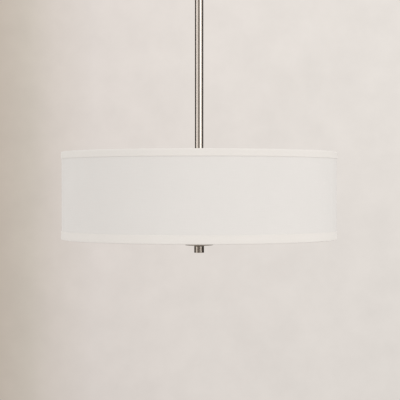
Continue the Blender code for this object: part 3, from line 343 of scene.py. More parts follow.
def dress(look, colour, roughness, height, bump, depth, fixed):
    """Feeds the Principled shader with a colour, a roughness, a bump and fixed values."""
    inputs = {"Height": height, "Strength": bump, "Distance": depth}
    bumped = add_node(look, "ShaderNodeBump", inputs).outputs[0]
    inputs = {"Base Color": colour, "Roughness": roughness, "Normal": bumped, **fixed}
    feed(look, look.node_tree.nodes["Principled BSDF"], inputs)
    return look


def brushed_look(name, dark, light, roughness, brush):
    """Brushed metal. brush scales the brush marks along the turning and along the profile."""
    look, place = new_look(name, "UV")
    lines = streaks(look, place, (*brush, 1.0), 1.0)
    mixed = weighted(look, lines, 0.7, streaks(look, place, (22.0, 16.0, 1.0), 2.0))
    colour = colour_between(look, mixed, dark, light)
    rough = level_between(look, mixed, roughness - 0.025, roughness + 0.025)
    return dress(look, colour, rough, lines, bump=0.05, depth=0.00002, fixed={"Metallic": 1.0})


def mottled_look(name, dark, light, roughness, grain, metallic):
    """A surface with soft patches and a fine grain: plating, powder coat, ceramic or plastic."""
    look, place = new_look(name, "Object")
    patches = streaks(look, place, (60.0, 60.0, 60.0))
    fine = streaks(look, place, (grain, grain, grain), 2.0)
    mixed = weighted(look, patches, 0.6, fine)
    colour = colour_between(look, mixed, dark, light)
    rough = level_between(look, mixed, roughness - 0.08, roughness + 0.08)
    return dress(look, colour, rough, fine, bump=0.12, depth=0.0001, fixed={"Metallic": metallic})


def linen_look(name, dark, light, turn):
    """Plain weave with slubs, in metres of cloth along U and V. turn lays the threads on the bias."""
    look, place = new_look(name, "UV")
    inputs = {"Vector": place, "Rotation": (0.0, 0.0, turn)}
    laid = add_node(look, "ShaderNodeMapping", inputs).outputs[0]
    parts = add_node(look, "ShaderNodeSeparateXYZ", {0: laid}).outputs
    warp, weft = sine(look, parts[0], THREAD_PITCH), sine(look, parts[1], THREAD_PITCH)
    over = calculate(look, "MULTIPLY_ADD", calculate(look, "MULTIPLY", warp, weft), 0.5, 0.5)
    across = streaks(look, laid, (38.0, 1000.0, 1.0))
    along = streaks(look, laid, (1000.0, 45.0, 1.0))
    cloudy = streaks(look, laid, (14.0, 14.0, 1.0), 2.0)
    slubs = weighted(look, across, 0.6, along)
    tone = weighted(look, over, 0.25, weighted(look, slubs, 0.7, cloudy))
    colour = colour_between(look, tone, dark, light)
    height = weighted(look, over, 0.5, slubs)
    return dress(look, colour, 0.9, height, bump=0.35, depth=0.00025, fixed={"Sheen Weight": 0.08})


def threaded_look(name, dark, light):
    """Zinc-plated pipe with a fine running thread."""
    look, place = new_look(name, "UV")
    height_along = add_node(look, "ShaderNodeSeparateXYZ", {0: place}).outputs[1]
    ridge = calculate(look, "MULTIPLY_ADD", sine(look, height_along, PIPE_PITCH), 0.5, 0.5)
    patches = streaks(look, place, (70.0, 70.0, 1.0), 2.0)
    # The colour darkens in the thread's grooves, painted shade in the recesses, and varies in soft patches.
    colour = colour_between(look, calculate(look, "MULTIPLY", ridge, patches), dark, light)
    rough = level_between(look, patches, 0.32, 0.5)
    return dress(look, colour, rough, ridge, bump=0.9, depth=0.0003, fixed={"Metallic": 1.0})


def glass_look(name, dark, light):
    """Opal glass: a milky white body with a slow unevenness under a clear, glossy skin."""
    look, place = new_look(name, "Object")
    milk = streaks(look, place, (26.0, 26.0, 26.0))
    colour = colour_between(look, milk, dark, light)
    rough = level_between(look, milk, 0.16, 0.26)
    coat = {"Coat Weight": 0.4, "Coat Roughness": 0.06}
    return dress(look, colour, rough, milk, bump=0.04, depth=0.0002, fixed=coat)


def make_looks():
    """Every look by its name, each with the slot that it fills."""
    made = {}
    plain = (0.54, 0.503, 0.468), (0.67, 0.628, 0.59)
    # The finial's and the cup's nickel are darker copies of the same plating: painted shade, standing in for
    # the darker surroundings that these small parts under the drum reflect. The cup's copy is the darker of
    # the two.
    for name, dark, light, roughness, brush in (
        ("nickel_along", *plain, 0.12, (2400.0, 12.0)),
        ("nickel_around", *plain, 0.19, (26.0, 2400.0)),
        ("nickel_painted_shade", (0.42, 0.38, 0.34), (0.53, 0.485, 0.44), 0.17, (26.0, 2400.0)),
        ("nickel_cup_painted_shade", (0.33, 0.30, 0.27), (0.42, 0.385, 0.35), 0.17, (26.0, 2400.0)),
    ):
        made[name] = brushed_look(name, dark, light, roughness, brush), "brushed_nickel"
    for name, slot, dark, light, roughness, grain, metallic in (
        ("zinc", "zinc_steel", (0.42, 0.42, 0.40), (0.62, 0.62, 0.60), 0.42, 900.0, 1.0),
        ("green_zinc", "green_screw", (0.02, 0.16, 0.06), (0.05, 0.28, 0.11), 0.40, 900.0, 1.0),
        ("powder_coat", "shade_wire", linear(214, 211, 204), linear(232, 229, 222), 0.50, 700.0, 0.0),
        ("ceramic", "cream_lampholder", linear(214, 206, 190), linear(230, 223, 208), 0.55, 1400.0, 0.0),
        ("insulator", None, (0.02, 0.02, 0.022), (0.05, 0.048, 0.045), 0.30, 800.0, 0.0),
        ("brass", "brass_shell", (0.60, 0.42, 0.18), (0.80, 0.60, 0.30), 0.30, 700.0, 1.0),
        ("aluminium", "bulb_base_metal", (0.60, 0.60, 0.60), (0.78, 0.78, 0.77), 0.28, 800.0, 1.0),
        ("frosted", "frosted_acrylic", linear(232, 230, 225), linear(242, 241, 237), 0.55, 2600.0, 0.0),
    ):
        made[name] = mottled_look(name, dark, light, roughness, grain, metallic), slot
    thread = threaded_look("pipe_thread", (0.36, 0.36, 0.34), (0.66, 0.66, 0.63))
    made["pipe_thread"] = thread, "zinc_steel"
    skin_linen = linen_look("skin_linen", linear(220, 217, 214), linear(236, 233, 230), 0.0)
    made["skin_linen"] = skin_linen, "white_linen"
    # The band's colour is set lighter than the skin's: painted sheen, standing in for the brighter look that
    # the bias-cut band has under the key light.
    band_linen_painted_sheen = linen_look("band_linen_painted_sheen", linear(223, 219, 214), linear(241, 237, 233), math.radians(45))
    made["band_linen_painted_sheen"] = band_linen_painted_sheen, "linen_trim"
    made["opal"] = glass_look("opal", linear(236, 233, 226), linear(248, 247, 243)), "opal_glass"
    return made


# Shapes


def arc(centre, radius, start, end, steps):
    """Points of an arc, both ends included, with the angles in degrees."""
    points = []
    for step in range(steps + 1):
        angle = math.radians(start + (end - start) * step / steps)
        across = centre[0] + radius * math.cos(angle)
        points.append((across, centre[1] + radius * math.sin(angle)))
    return points


def softened(profile, reach, steps=3):
    """A closed profile with its corners rounded, except those on the axis and the nearly straight ones.

    A point just off each end of a rounding keeps the long straight beside it flat when it is smoothed.
    """
    result = []
    for index, corner in enumerate(profile):
        point = Vector(corner)
        before = Vector(profile[index - 1]) - point
        after = Vector(profile[(index + 1) % len(profile)]) - point
        if point.x < TINY or before.angle(after) > FLAT_CORNER:
            result.append(tuple(point))
            continue
        size = min(reach, before.length * CORNER_SHARE, after.length * CORNER_SHARE)
        start, end = point + before.normalized() * size, point + after.normalized() * size
        if before.length > size * LONG_STRAIGHT:
            result.append(tuple(start.lerp(point, -GUARD_SHARE)))
        for step in range(steps + 1):
            share = step / steps
            result.append(tuple(start.lerp(point, share).lerp(point.lerp(end, share), share)))
        if after.length > size * LONG_STRAIGHT:
            result.append(tuple(end.lerp(point, -GUARD_SHARE)))
    return result


def divided(start, end, steps):
    """The points between two ends, with the first and without the last."""
    first, last = Vector(start), Vector(end)
    return [tuple(first.lerp(last, step / steps)) for step in range(steps)]


def smooth_through(points, steps):
    """A smooth open curve through points."""
    result = []
    ends = [points[0]] + list(points) + [points[-1]]
    for number in range(1, len(ends) - 2):
        a, b, c, d = (Vector(point) for point in ends[number - 1 : number + 3])
        for step in range(steps):
            t = step / steps
            bent = b * 2 + (c - a) * t + (a * 2 - b * 5 + c * 4 - d) * t**2
            result.append(tuple((bent + (b * 3 - a - c * 3 + d) * t**3) / 2))
    return result + [tuple(points[-1])]


def even_angles(segments):
    return [math.tau * step / segments for step in range(segments)]


def lathe(profile, angles, shape=None):
    """Spins a closed profile into a bmesh with a UV map in metres. shape may move each point."""
    mesh_data = bmesh.new()
    uv = mesh_data.loops.layers.uv.new("UVMap")
    widest = max(radius for radius, height in profile)
    rows, travelled = [], [0.0]
    for index, (radius, height) in enumerate(profile):
        following = profile[(index + 1) % len(profile)]
        travelled.append(travelled[-1] + math.dist((radius, height), following))
        if radius < TINY:
            rows.append([mesh_data.verts.new((0.0, 0.0, height))] * len(angles))
            continue
        row = []
        for angle in angles:
            reach, level = shape(angle, radius, height) if shape else (radius, height)
            row.append(mesh_data.verts.new((reach * math.cos(angle), reach * math.sin(angle), level)))
        rows.append(row)
    turns = [angle * widest for angle in angles] + [(angles[0] + math.tau) * widest]
    for index, row in enumerate(rows):
        following = rows[(index + 1) % len(rows)]
        if row[0] is row[1] and following[0] is following[1]:
            continue
        for step in range(len(angles)):
            after = (step + 1) % len(angles)
            corners = [(row[step], step, 0), (row[after], step + 1, 0)]
            corners += [(following[after], step + 1, 1), (following[step], step, 1)]
            seen = {vert: (turns[turn], travelled[index + rise]) for vert, turn, rise in corners}
            face = mesh_data.faces.new(list(seen))
            for loop in face.loops:
                loop[uv].uv = seen[loop.vert]
    bmesh.ops.recalc_face_normals(mesh_data, faces=mesh_data.faces)
    return mesh_data


def spun(profile, edge, segments=BODY_SEGMENTS, shape=None):
    """Spins a closed profile into a bmesh, and softens its corners where an edge is given."""
    return lathe(softened(profile, edge) if edge else profile, even_angles(segments), shape)


def swept(route, radius, sides):
    """A closed tube of round section along points in the XZ plane."""
    mesh_data = bmesh.new()
    uv = mesh_data.loops.layers.uv.new("UVMap")
    points = [Vector((x, 0.0, z)) for x, z in route]
    sideward = Vector((0.0, 1.0, 0.0))
    rings, travelled = [], 0.0
    for index, point in enumerate(points):
        before, after = points[max(index - 1, 0)], points[min(index + 1, len(points) - 1)]
        travelled += (point - before).length
        upward = (after - before).normalized().cross(sideward)
        ring = []
        for side in range(sides):
            angle = math.tau * side / sides
            offset = sideward * math.cos(angle) + upward * math.sin(angle)
            ring.append(mesh_data.verts.new(point + offset * radius))
        rings.append((ring, travelled))
    around = math.tau * radius / sides
    for (ring, low), (following, high) in zip(rings, rings[1:]):
        for side in range(sides):
            after = (side + 1) % sides
            face = mesh_data.faces.new((ring[side], ring[after], following[after], following[side]))
            corners = ((side, low), (side + 1, low), (side + 1, high), (side, high))
            for loop, (turn, level) in zip(face.loops, corners):
                loop[uv].uv = (turn * around, level)
    mesh_data.faces.new(rings[0][0])
    mesh_data.faces.new(rings[-1][0])
    bmesh.ops.recalc_face_normals(mesh_data, faces=mesh_data.faces)
    return mesh_data


def slab(outline, low, high):
    """Extrudes a closed outline of (x, y) points from one height to another."""
    mesh_data = bmesh.new()
    mesh_data.loops.layers.uv.new("UVMap")
    base = mesh_data.faces.new([mesh_data.verts.new((x, y, low)) for x, y in outline])
    raised = bmesh.ops.extrude_face_region(mesh_data, geom=[base])["geom"]
    top = [item for item in raised if isinstance(item, bmesh.types.BMVert)]
    bmesh.ops.translate(mesh_data, verts=top, vec=(0.0, 0.0, high - low))
    bmesh.ops.recalc_face_normals(mesh_data, faces=mesh_data.faces)
    return mesh_data


def rounded_box_outline(half_length, half_width, corner, steps):
    outline = []
    for x_side, y_side, start in ((1, 1, 0), (-1, 1, 90), (-1, -1, 180), (1, -1, 270)):
        centre = (x_side * (half_length - corner), y_side * (half_width - corner))
        outline += arc(centre, corner, start, start + 90, steps)
    return outline


def stepped(*steps):
    """A closed profile of square steps, given as radius, height, radius, height and so on."""
    points = []
    for number in range(0, len(steps), 2):
        radius, height = steps[number : number + 2]
        points += [(radius, height), (steps[(number + 2) % len(steps)], height)]
    return points


def bar_shape(radius, low, high):
    """A plain round bar about Z, for cutting with."""
    return spun(stepped(0.0, low, radius, high), None, SMALL_SEGMENTS)


def holes(radius, low, high, *places):
    """The steps that drill a round hole about Z at each place."""
    return [("DIFFERENCE", bar_shape(radius, low, high), place) for place in places]


def upright(x=0.0, y=0.0, z=0.0):
    return Matrix.Translation((x, y, z))


def rotation(degrees, axis):
    return Matrix.Rotation(math.radians(degrees), 4, axis)


def sideways(height):
    """Turns a tool about Z into one along X at a height."""
    return upright(z=height) @ rotation(90, "Y")


def add_object(name, data):
    added = bpy.data.objects.new(name, data)
    bpy.context.collection.objects.link(added)
    return added


def as_object(name, mesh_data, place=None):
    if place is not None:
        mesh_data.transform(place)
    mesh = bpy.data.meshes.new(name)
    mesh_data.to_mesh(mesh)
    mesh_data.free()
    return add_object(name, mesh)


def finish_piece(piece, node, look_name, body="stem_and_shade"):
    """Smooths a piece, gives it its look, and puts it in the place of the node it stands for."""
    look, slot = looks[look_name]
    piece.data.shade_smooth()
    piece.data.set_sharp_from_angle(angle=SHARP_ANGLE)
    piece.data.materials.clear()
    piece.data.materials.append(look)
    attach(piece, body)
    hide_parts(node)
    return piece


def carved(node, base, steps, look, body="stem_and_shade", place=None):
    """A piece made from a bmesh by Boolean steps of (operation, bmesh, placement), and then put in place."""
    piece = as_object(f"{node}_fine", base)
    tools = []
    for number, (operation, tool_data, tool_place) in enumerate(steps):
        tool = as_object(f"{node}_tool_{number}", tool_data, tool_place)
        change = piece.modifiers.new(tool.name, "BOOLEAN")
        change.operation = operation
        change.object = tool
        change.solver = "EXACT"
        tools.append(tool)
    depsgraph = bpy.context.evaluated_depsgraph_get()
    result = bpy.data.meshes.new_from_object(piece.evaluated_get(depsgraph))
    piece.modifiers.clear()
    rough, piece.data = piece.data, result
    bpy.data.meshes.remove(rough)
    for tool in tools:
        bpy.data.objects.remove(tool)
    if place is not None:
        piece.data.transform(place)
    return finish_piece(piece, node, look, body)


def turned(node, profile, edge, look, body="stem_and_shade", segments=BODY_SEGMENTS, shape=None, place=None):
    """A piece made by spinning a profile, and then put in place."""
    piece = as_object(f"{node}_fine", spun(profile, edge, segments, shape), place)
    return finish_piece(piece, node, look, body)


def make_ring(node, bore, edge, look, body="stem_and_shade", segments=BODY_SEGMENTS):
    """A plain ring, disc or tube that fills its solid's own box."""
    radius, low, high = span(node)
    turned(node, stepped(bore, low, radius, high), edge, look, body, segments)


# The ceiling plate and its fasteners


def screw_thread(angle, radius, height):
    """Cuts a running thread into a screw's shank."""
    if abs(radius - SCREW_RADIUS) > TINY:
        return radius, height
    wave = math.cos(math.tau * height / SCREW_PITCH - angle)
    return radius - SCREW_THREAD_DEPTH * (0.5 - 0.5 * wave), height


def make_screw(node, place, look="zinc"):
    """A pan-head screw with a cross recess, its head below height 0 and its shank upwards."""
    low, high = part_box(node)
    length = high.z - low.z - SCREW_HEAD_HEIGHT
    dome = SCREW_HEAD_HEIGHT * 0.6
    profile = [(0.0, -SCREW_HEAD_HEIGHT)]
    profile += arc((SCREW_HEAD_RADIUS - dome, dome - SCREW_HEAD_HEIGHT), dome, -90, 0, 6)
    profile += [(SCREW_HEAD_RADIUS, 0.0)]
    rows = round(length / SCREW_PITCH * ROWS_PER_THREAD)
    profile += divided((SCREW_RADIUS, 0.0), (SCREW_RADIUS, length), rows)
    profile += [(SCREW_RADIUS - PIPE_CHAMFER, length), (0.0, length)]
    half, width = SCREW_RECESS_LENGTH / 2, SCREW_RECESS_WIDTH / 2
    recess_floor = SCREW_RECESS_DEPTH - SCREW_HEAD_HEIGHT
    steps = []
    for x, y in ((half, width), (width, half)):
        corners = [(x, y), (-x, y), (-x, -y), (x, -y)]
        steps.append(("DIFFERENCE", slab(corners, -SCREW_HEAD_HEIGHT * 2, recess_floor), None))
    base = spun(profile, None, SCREW_SEGMENTS, screw_thread)
    carved(node, base, steps, look, "ceiling_set", place)


def hexagon(flat):
    """A shape that keeps a turned profile inside a hexagon."""

    def shape(angle, radius, height):
        off_flat = angle % (math.pi / 3) - math.pi / 6
        return min(radius, flat / math.cos(off_flat)), height

    return shape


def make_nut(node, flat, bore, body="stem_and_shade", x=0.0):
    """A hexagon nut with its corners chamfered on both faces."""
    low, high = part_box(node)
    corner, face = flat / math.cos(math.pi / 6), flat * 0.99
    drop = (corner - flat) * 0.7
    lower, upper = (corner, low.z + drop), (corner, high.z - drop)
    profile = [(bore, low.z), (face, low.z)] + divided((face, low.z), lower, 4)[1:]
    profile += [lower, upper] + divided(upper, (face, high.z), 4)[1:]
    profile += [(face, high.z), (bore, high.z)]
    turned(node, profile, None, "zinc", body, shape=hexagon(flat), place=upright(x))


def make_crossbar():
    low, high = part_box("crossbar")
    base = slab(rounded_box_outline(high.x, CROSSBAR_WIDTH / 2, CROSSBAR_CORNER, 8), low.z, high.z)
    edges = [edge for edge in base.edges if abs(edge.verts[0].co.z - edge.verts[1].co.z) < TINY]
    bmesh.ops.bevel(base, geom=edges, offset=FINE_EDGE, segments=2, affect="EDGES")
    below, above = low.z * 2, high.z - low.z
    steps = holes(PIPE_HOLE_RADIUS, below, above, upright())
    spots = ((GROUND_SCREW_X, GROUND_SCREW_Y), (-CANOPY_SCREW_X, 0.0), (CANOPY_SCREW_X, 0.0))
    steps += holes(SCREW_HOLE_RADIUS, below, above, *(upright(x, y) for x, y in spots))
    slot = rounded_box_outline(BOX_SLOT_LENGTH / 2, SCREW_HOLE_RADIUS, SCREW_HOLE_RADIUS, 8)
    for x in (-BOX_SCREW_X, BOX_SCREW_X):
        steps.append(("DIFFERENCE", slab(slot, below, above), upright(x)))
    carved("crossbar", base, steps, "zinc", "ceiling_set")


def make_ceiling_set():
    make_crossbar()
    under_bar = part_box("ground_screw")[0].z + SCREW_HEAD_HEIGHT
    make_screw("ground_screw", upright(GROUND_SCREW_X, GROUND_SCREW_Y, under_bar), "green_zinc")
    over_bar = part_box("canopy_screw_left")[1].z - SCREW_HEAD_HEIGHT
    for side_name, side in SIDES:
        x = side * CANOPY_SCREW_X
        make_screw(f"box_screw_{side_name}", upright(side * BOX_SCREW_X, 0.0, under_bar))
        make_screw(f"canopy_screw_{side_name}", upright(x, 0.0, over_bar) @ rotation(180, "X"))
        make_nut(f"canopy_screw_nut_{side_name}", SCREW_NUT_FLAT, SCREW_HOLE_RADIUS, "ceiling_set", x)
        make_cap_nut(f"cap_nut_{side_name}", x)
    make_nut("stud_nut", PIPE_NUT_FLAT, PIPE_HOLE_RADIUS, "ceiling_set")
    make_ring("canopy_washer", PIPE_HOLE_RADIUS, FINE_EDGE, "zinc", "ceiling_set")
    make_canopy()
    make_swivel()


def make_canopy():
    radius, low, high = span("canopy")
    centre = (radius - CANOPY_CORNER, low + CANOPY_CORNER)
    profile = [(radius, high)] + divided((radius, high), (radius, centre[1]), 4)[1:]
    profile += arc(centre, CANOPY_CORNER, 0, -90, 12)
    profile += [(PIPE_HOLE_RADIUS, low), (PIPE_HOLE_RADIUS, low + CANOPY_WALL)]
    profile += arc(centre, CANOPY_CORNER - CANOPY_WALL, -90, 0, 10)
    profile += [(radius - CANOPY_WALL, high)]
    places = (upright(-CANOPY_SCREW_X), upright(CANOPY_SCREW_X))
    steps = holes(SCREW_HOLE_RADIUS, low - CANOPY_WALL, low + CANOPY_WALL * 2, *places)
    base = spun(profile, FINE_EDGE, DRUM_SEGMENTS // 2)
    carved("canopy", base, steps, "nickel_around", "ceiling_set")


def make_cap_nut(node, x):
    ball = -CAP_NUT_FOOT_HEIGHT - CAP_NUT_RADIUS
    profile = [(0.0, -CAP_NUT_HOLE_DEPTH), (SCREW_HOLE_RADIUS, -CAP_NUT_HOLE_DEPTH)]
    profile += [(SCREW_HOLE_RADIUS, 0.0), (CAP_NUT_FOOT_RADIUS, 0.0)]
    profile += [(CAP_NUT_FOOT_RADIUS, -CAP_NUT_FOOT_HEIGHT)]
    profile += arc((0.0, ball), CAP_NUT_RADIUS, CAP_NUT_NECK_DEGREES, -89, 18)
    profile += [(0.0, ball - CAP_NUT_RADIUS)]
    place = upright(x, 0.0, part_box(node)[1].z)
    turned(node, profile, FINE_EDGE, "nickel_around", "ceiling_set", SMALL_SEGMENTS, place=place)


# The swivel


def make_swivel():
    radius, low, high = span("swivel_stud")
    head_top = low + STUD_HEAD_HEIGHT
    profile = stepped(PIPE_BORE_RADIUS, low, STUD_HEAD_RADIUS, head_top, PIPE_RADIUS, high)
    turned("swivel_stud", profile, PIPE_CHAMFER, "pipe_thread", "ceiling_set", SMALL_SEGMENTS)
    radius, low, high = span("swivel_collar")
    groove_top = low + GROOVE_DEPTH
    profile = [(PIPE_HOLE_RADIUS, high), (PIPE_HOLE_RADIUS, low), (GROOVE_INNER_RADIUS, low)]
    profile += [(GROOVE_INNER_RADIUS, groove_top), (GROOVE_OUTER_RADIUS, groove_top)]
    profile += [(GROOVE_OUTER_RADIUS, low), (radius, low), (radius, high)]
    stop_circle = (GROOVE_INNER_RADIUS + GROOVE_OUTER_RADIUS) / 2
    pin = bar_shape(STOP_PIN_RADIUS, low + STOP_PIN_GAP, groove_top + STOP_PIN_GAP)
    steps = [("UNION", pin, upright(0.0, stop_circle))]
    carved("swivel_collar", spun(profile, SOFT_EDGE), steps, "nickel_around", "ceiling_set")
    make_yoke(stop_circle)
    make_eye()


def make_yoke(stop_circle):
    radius, bottom, yoke_top = span("swivel_yoke")
    top = yoke_top - STOP_PIN_HEIGHT
    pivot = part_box("pivot_pin_left")[0].lerp(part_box("pivot_pin_left")[1], 0.5).z
    slot_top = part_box("swivel_eye")[1].z + SEAT_GAP
    outer = radius * 1.2
    seat = radius - PIVOT_HEAD_SINK
    cross = stepped(
        0.0, -outer, PIVOT_HEAD_RADIUS + SEAT_GAP, -seat,
        PIVOT_PIN_RADIUS + SEAT_GAP, seat, PIVOT_HEAD_RADIUS + SEAT_GAP, outer,
    )
    slot = [(-SLOT_HALF, -outer), (SLOT_HALF, -outer), (SLOT_HALF, outer), (-SLOT_HALF, outer)]
    pin = bar_shape(STOP_PIN_RADIUS, top - STOP_PIN_HEIGHT, top + STOP_PIN_HEIGHT)
    steps = holes(STUD_RECESS_RADIUS, slot_top - SEAT_GAP, top - YOKE_PLATE, upright()) + [
        ("DIFFERENCE", slab(slot, bottom - SOFT_EDGE, slot_top), None),
        ("DIFFERENCE", spun(cross, None, SMALL_SEGMENTS), sideways(pivot)),
        ("UNION", pin, upright(0.0, -stop_circle)),
    ]
    base = spun(stepped(PIPE_HOLE_RADIUS, bottom, radius, top), METAL_EDGE)
    carved("swivel_yoke", base, steps, "nickel_around", "swivel_yoke")
    seat += SEAT_GAP
    for side_name, side in SIDES:
        node = f"pivot_pin_{side_name}"
        tip, end = sorted(abs(corner.x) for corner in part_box(node))
        profile = stepped(0.0, tip, PIVOT_PIN_RADIUS, seat, PIVOT_HEAD_RADIUS, end)
        place = upright(z=pivot) @ rotation(side * 90, "Y")
        turned(node, profile, METAL_EDGE, "zinc", "swivel_yoke", SMALL_SEGMENTS, place=place)


def make_eye():
    low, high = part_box("swivel_eye")
    pivot = high.z - TONGUE_RADIUS
    rod_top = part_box("upper_rod")[1]
    taper_end = rod_top.z + SEAT_GAP
    shoulder_end = taper_end + EYE_TAPER_HEIGHT
    shoulder = shoulder_end + EYE_SHOULDER_HEIGHT
    plug = rod_top.x - ROD_WALL - SEAT_GAP
    profile = [(PIPE_BORE_RADIUS, shoulder), (EYE_SHOULDER_RADIUS, shoulder)]
    profile += [(EYE_SHOULDER_RADIUS, shoulder_end), (rod_top.x, taper_end), (plug, taper_end)]
    profile += [(plug, low.z), (PIPE_BORE_RADIUS, low.z)]
    reach = pivot - shoulder + EYE_SHOULDER_HEIGHT / 2
    tongue = [(reach, -TONGUE_RADIUS)] + arc((0.0, 0.0), TONGUE_RADIUS, 270, 90, 24)
    tongue += [(reach, TONGUE_RADIUS)]
    bore_low, bore_high = pivot - reach - SOFT_EDGE, high.z + SOFT_EDGE
    steps = [("UNION", slab(tongue, -TONGUE_HALF, TONGUE_HALF), sideways(pivot))]
    steps += holes(EYE_WIRE_BORE_RADIUS, bore_low, bore_high, upright())
    steps += holes(PIVOT_PIN_RADIUS + SEAT_GAP, -TONGUE_HALF * 2, TONGUE_HALF * 2, sideways(pivot))
    carved("swivel_eye", spun(profile, METAL_EDGE), steps, "nickel_around")


# The stem


def make_stem():
    for node in ("upper_rod", "lower_rod"):
        make_ring(node, span(node)[0] - ROD_WALL, METAL_EDGE, "nickel_along")
    make_ring("rod_sleeve", PIPE_BORE_RADIUS, METAL_EDGE, "pipe_thread")
    make_ring("rod_bushing", PIPE_HOLE_RADIUS, METAL_EDGE, "pipe_thread")
    make_ring("stem_collar", PIPE_HOLE_RADIUS, SOFT_EDGE, "nickel_around")
    make_ring("centre_pipe", PIPE_BORE_RADIUS, PIPE_CHAMFER, "pipe_thread", segments=SMALL_SEGMENTS)


# The shade


def drum_angles(radius):
    """Angles about the axis with a close pair at the back, where the cloth's free end is glued down."""
    start = math.pi / 2
    others = [angle for angle in even_angles(DRUM_SEGMENTS) if angle != start]
    return sorted(others + [start, start + LAP_WIDTH / radius * LAP_RISE])


def lapped(radius_out, width, step):
    """A shape that steps the outer face out by the cloth's own thickness where its end laps at the back."""

    def shape(angle, radius, height):
        behind = (angle - math.pi / 2) * radius_out
        inside = radius < radius_out - LAP_DEPTH
        if inside or behind <= 0.0 or behind > width * (1 + LAP_FADE):
            return radius, height
        fade = 1.0 if behind < width else 1.0 - (behind - width) / (width * LAP_FADE)
        return radius + step * min(1.0, fade), height

    return shape


def make_skin():
    """The linen on its stiff backing, from ring to ring, with its glued lap at the back."""
    radius, low, high = span("shade_skin")
    inner = radius - SKIN_WALL
    radius += SKIN_PROUD
    profile = divided((radius, low), (radius, high), 20) + [(radius, high)]
    profile += divided((inner, high), (inner, low), 20) + [(inner, low)]
    shape = lapped(radius, LAP_WIDTH, LAP_STEP)
    skin = as_object("linen_skin", lathe(softened(profile, FINE_EDGE), drum_angles(radius), shape))
    finish_piece(skin, "shade_skin", "skin_linen")
    return skin, (math.tau * radius + LAP_WIDTH, high - low)


def roll_reach(drum_radius, ring_radius):
    """How far the outside of a band stands off its ring's centre line where it rolls over the wire."""
    return drum_radius - SEAT_GAP - SKIN_WALL - ring_radius


def band_profile(drum_radius, rim, height, up, ring_radius):
    """A band folded over a ring: an outer flap thinning to its edge, the roll and a short inner flap."""
    reach = roll_reach(drum_radius, ring_radius)
    wrap = (ring_radius, -reach)
    points = divided((drum_radius - BAND_LEAN, -height), (drum_radius, -TRIM_ROLL), 6)
    points += arc((drum_radius - TRIM_ROLL, -TRIM_ROLL), TRIM_ROLL, 0, 80, 5)
    points += arc(wrap, reach, 82, 180, 12)
    inside = ring_radius - reach
    points += [(inside, -TRIM_INNER_HEIGHT), (inside + TRIM_THICKNESS, -TRIM_INNER_HEIGHT)]
    points += arc(wrap, reach - TRIM_THICKNESS, 180, 90, 10)
    points += [(drum_radius - TRIM_THICKNESS, -TRIM_THICKNESS)]
    points += [(drum_radius - TRIM_THICKNESS, -height)]
    return softened([(radius, rim + up * level) for radius, level in points], FINE_EDGE)


def band_shape(drum_radius, rim, height, up, phase):
    """Lets the flap's free edge wander a little and laps the band's end at the back."""
    lap = lapped(drum_radius, BAND_LAP_WIDTH, BAND_LAP_STEP)

    def shape(angle, radius, level):
        wander = sum(size * math.sin(waves * angle + phase * turns) for waves, size, turns in BAND_WANDER)
        free = max(0.0, abs(level - rim) / height - BAND_STEADY_SHARE)
        reach, level = lap(angle, radius, level)
        return reach, level - up * wander * free

    return shape


def make_bands():
    ring_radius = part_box("bottom_ring")[1].x - RING_WIRE_RADIUS
    bands = []
    for node, name, height, up, phase in (
        ("top_trim", "top_band", TOP_TRIM_HEIGHT, 1, 0.4),
        ("bottom_trim", "bottom_band", BOTTOM_TRIM_HEIGHT, -1, 2.1),
    ):
        radius, low, high = span(node)
        rim = high if up > 0 else low
        profile = band_profile(radius, rim, height, up, ring_radius)
        shape = band_shape(radius, rim, height, up, phase)
        band = as_object(name, lathe(profile, drum_angles(radius), shape))
        finish_piece(band, node, "band_linen_painted_sheen")
        reach = roll_reach(radius, ring_radius)
        corners_cut = (2 - math.pi / 2) * (TRIM_ROLL + reach)
        cut_width = height + TRIM_INNER_HEIGHT + radius - (ring_radius - reach) - corners_cut
        bands.append((band, (math.tau * radius + BAND_LAP_WIDTH, cut_width)))
    return bands


def wire_ring(radius, height):
    section = arc((radius, height), RING_WIRE_RADIUS, 0, 360, WIRE_SEGMENTS)[:-1]
    return spun(section, None, DRUM_SEGMENTS)


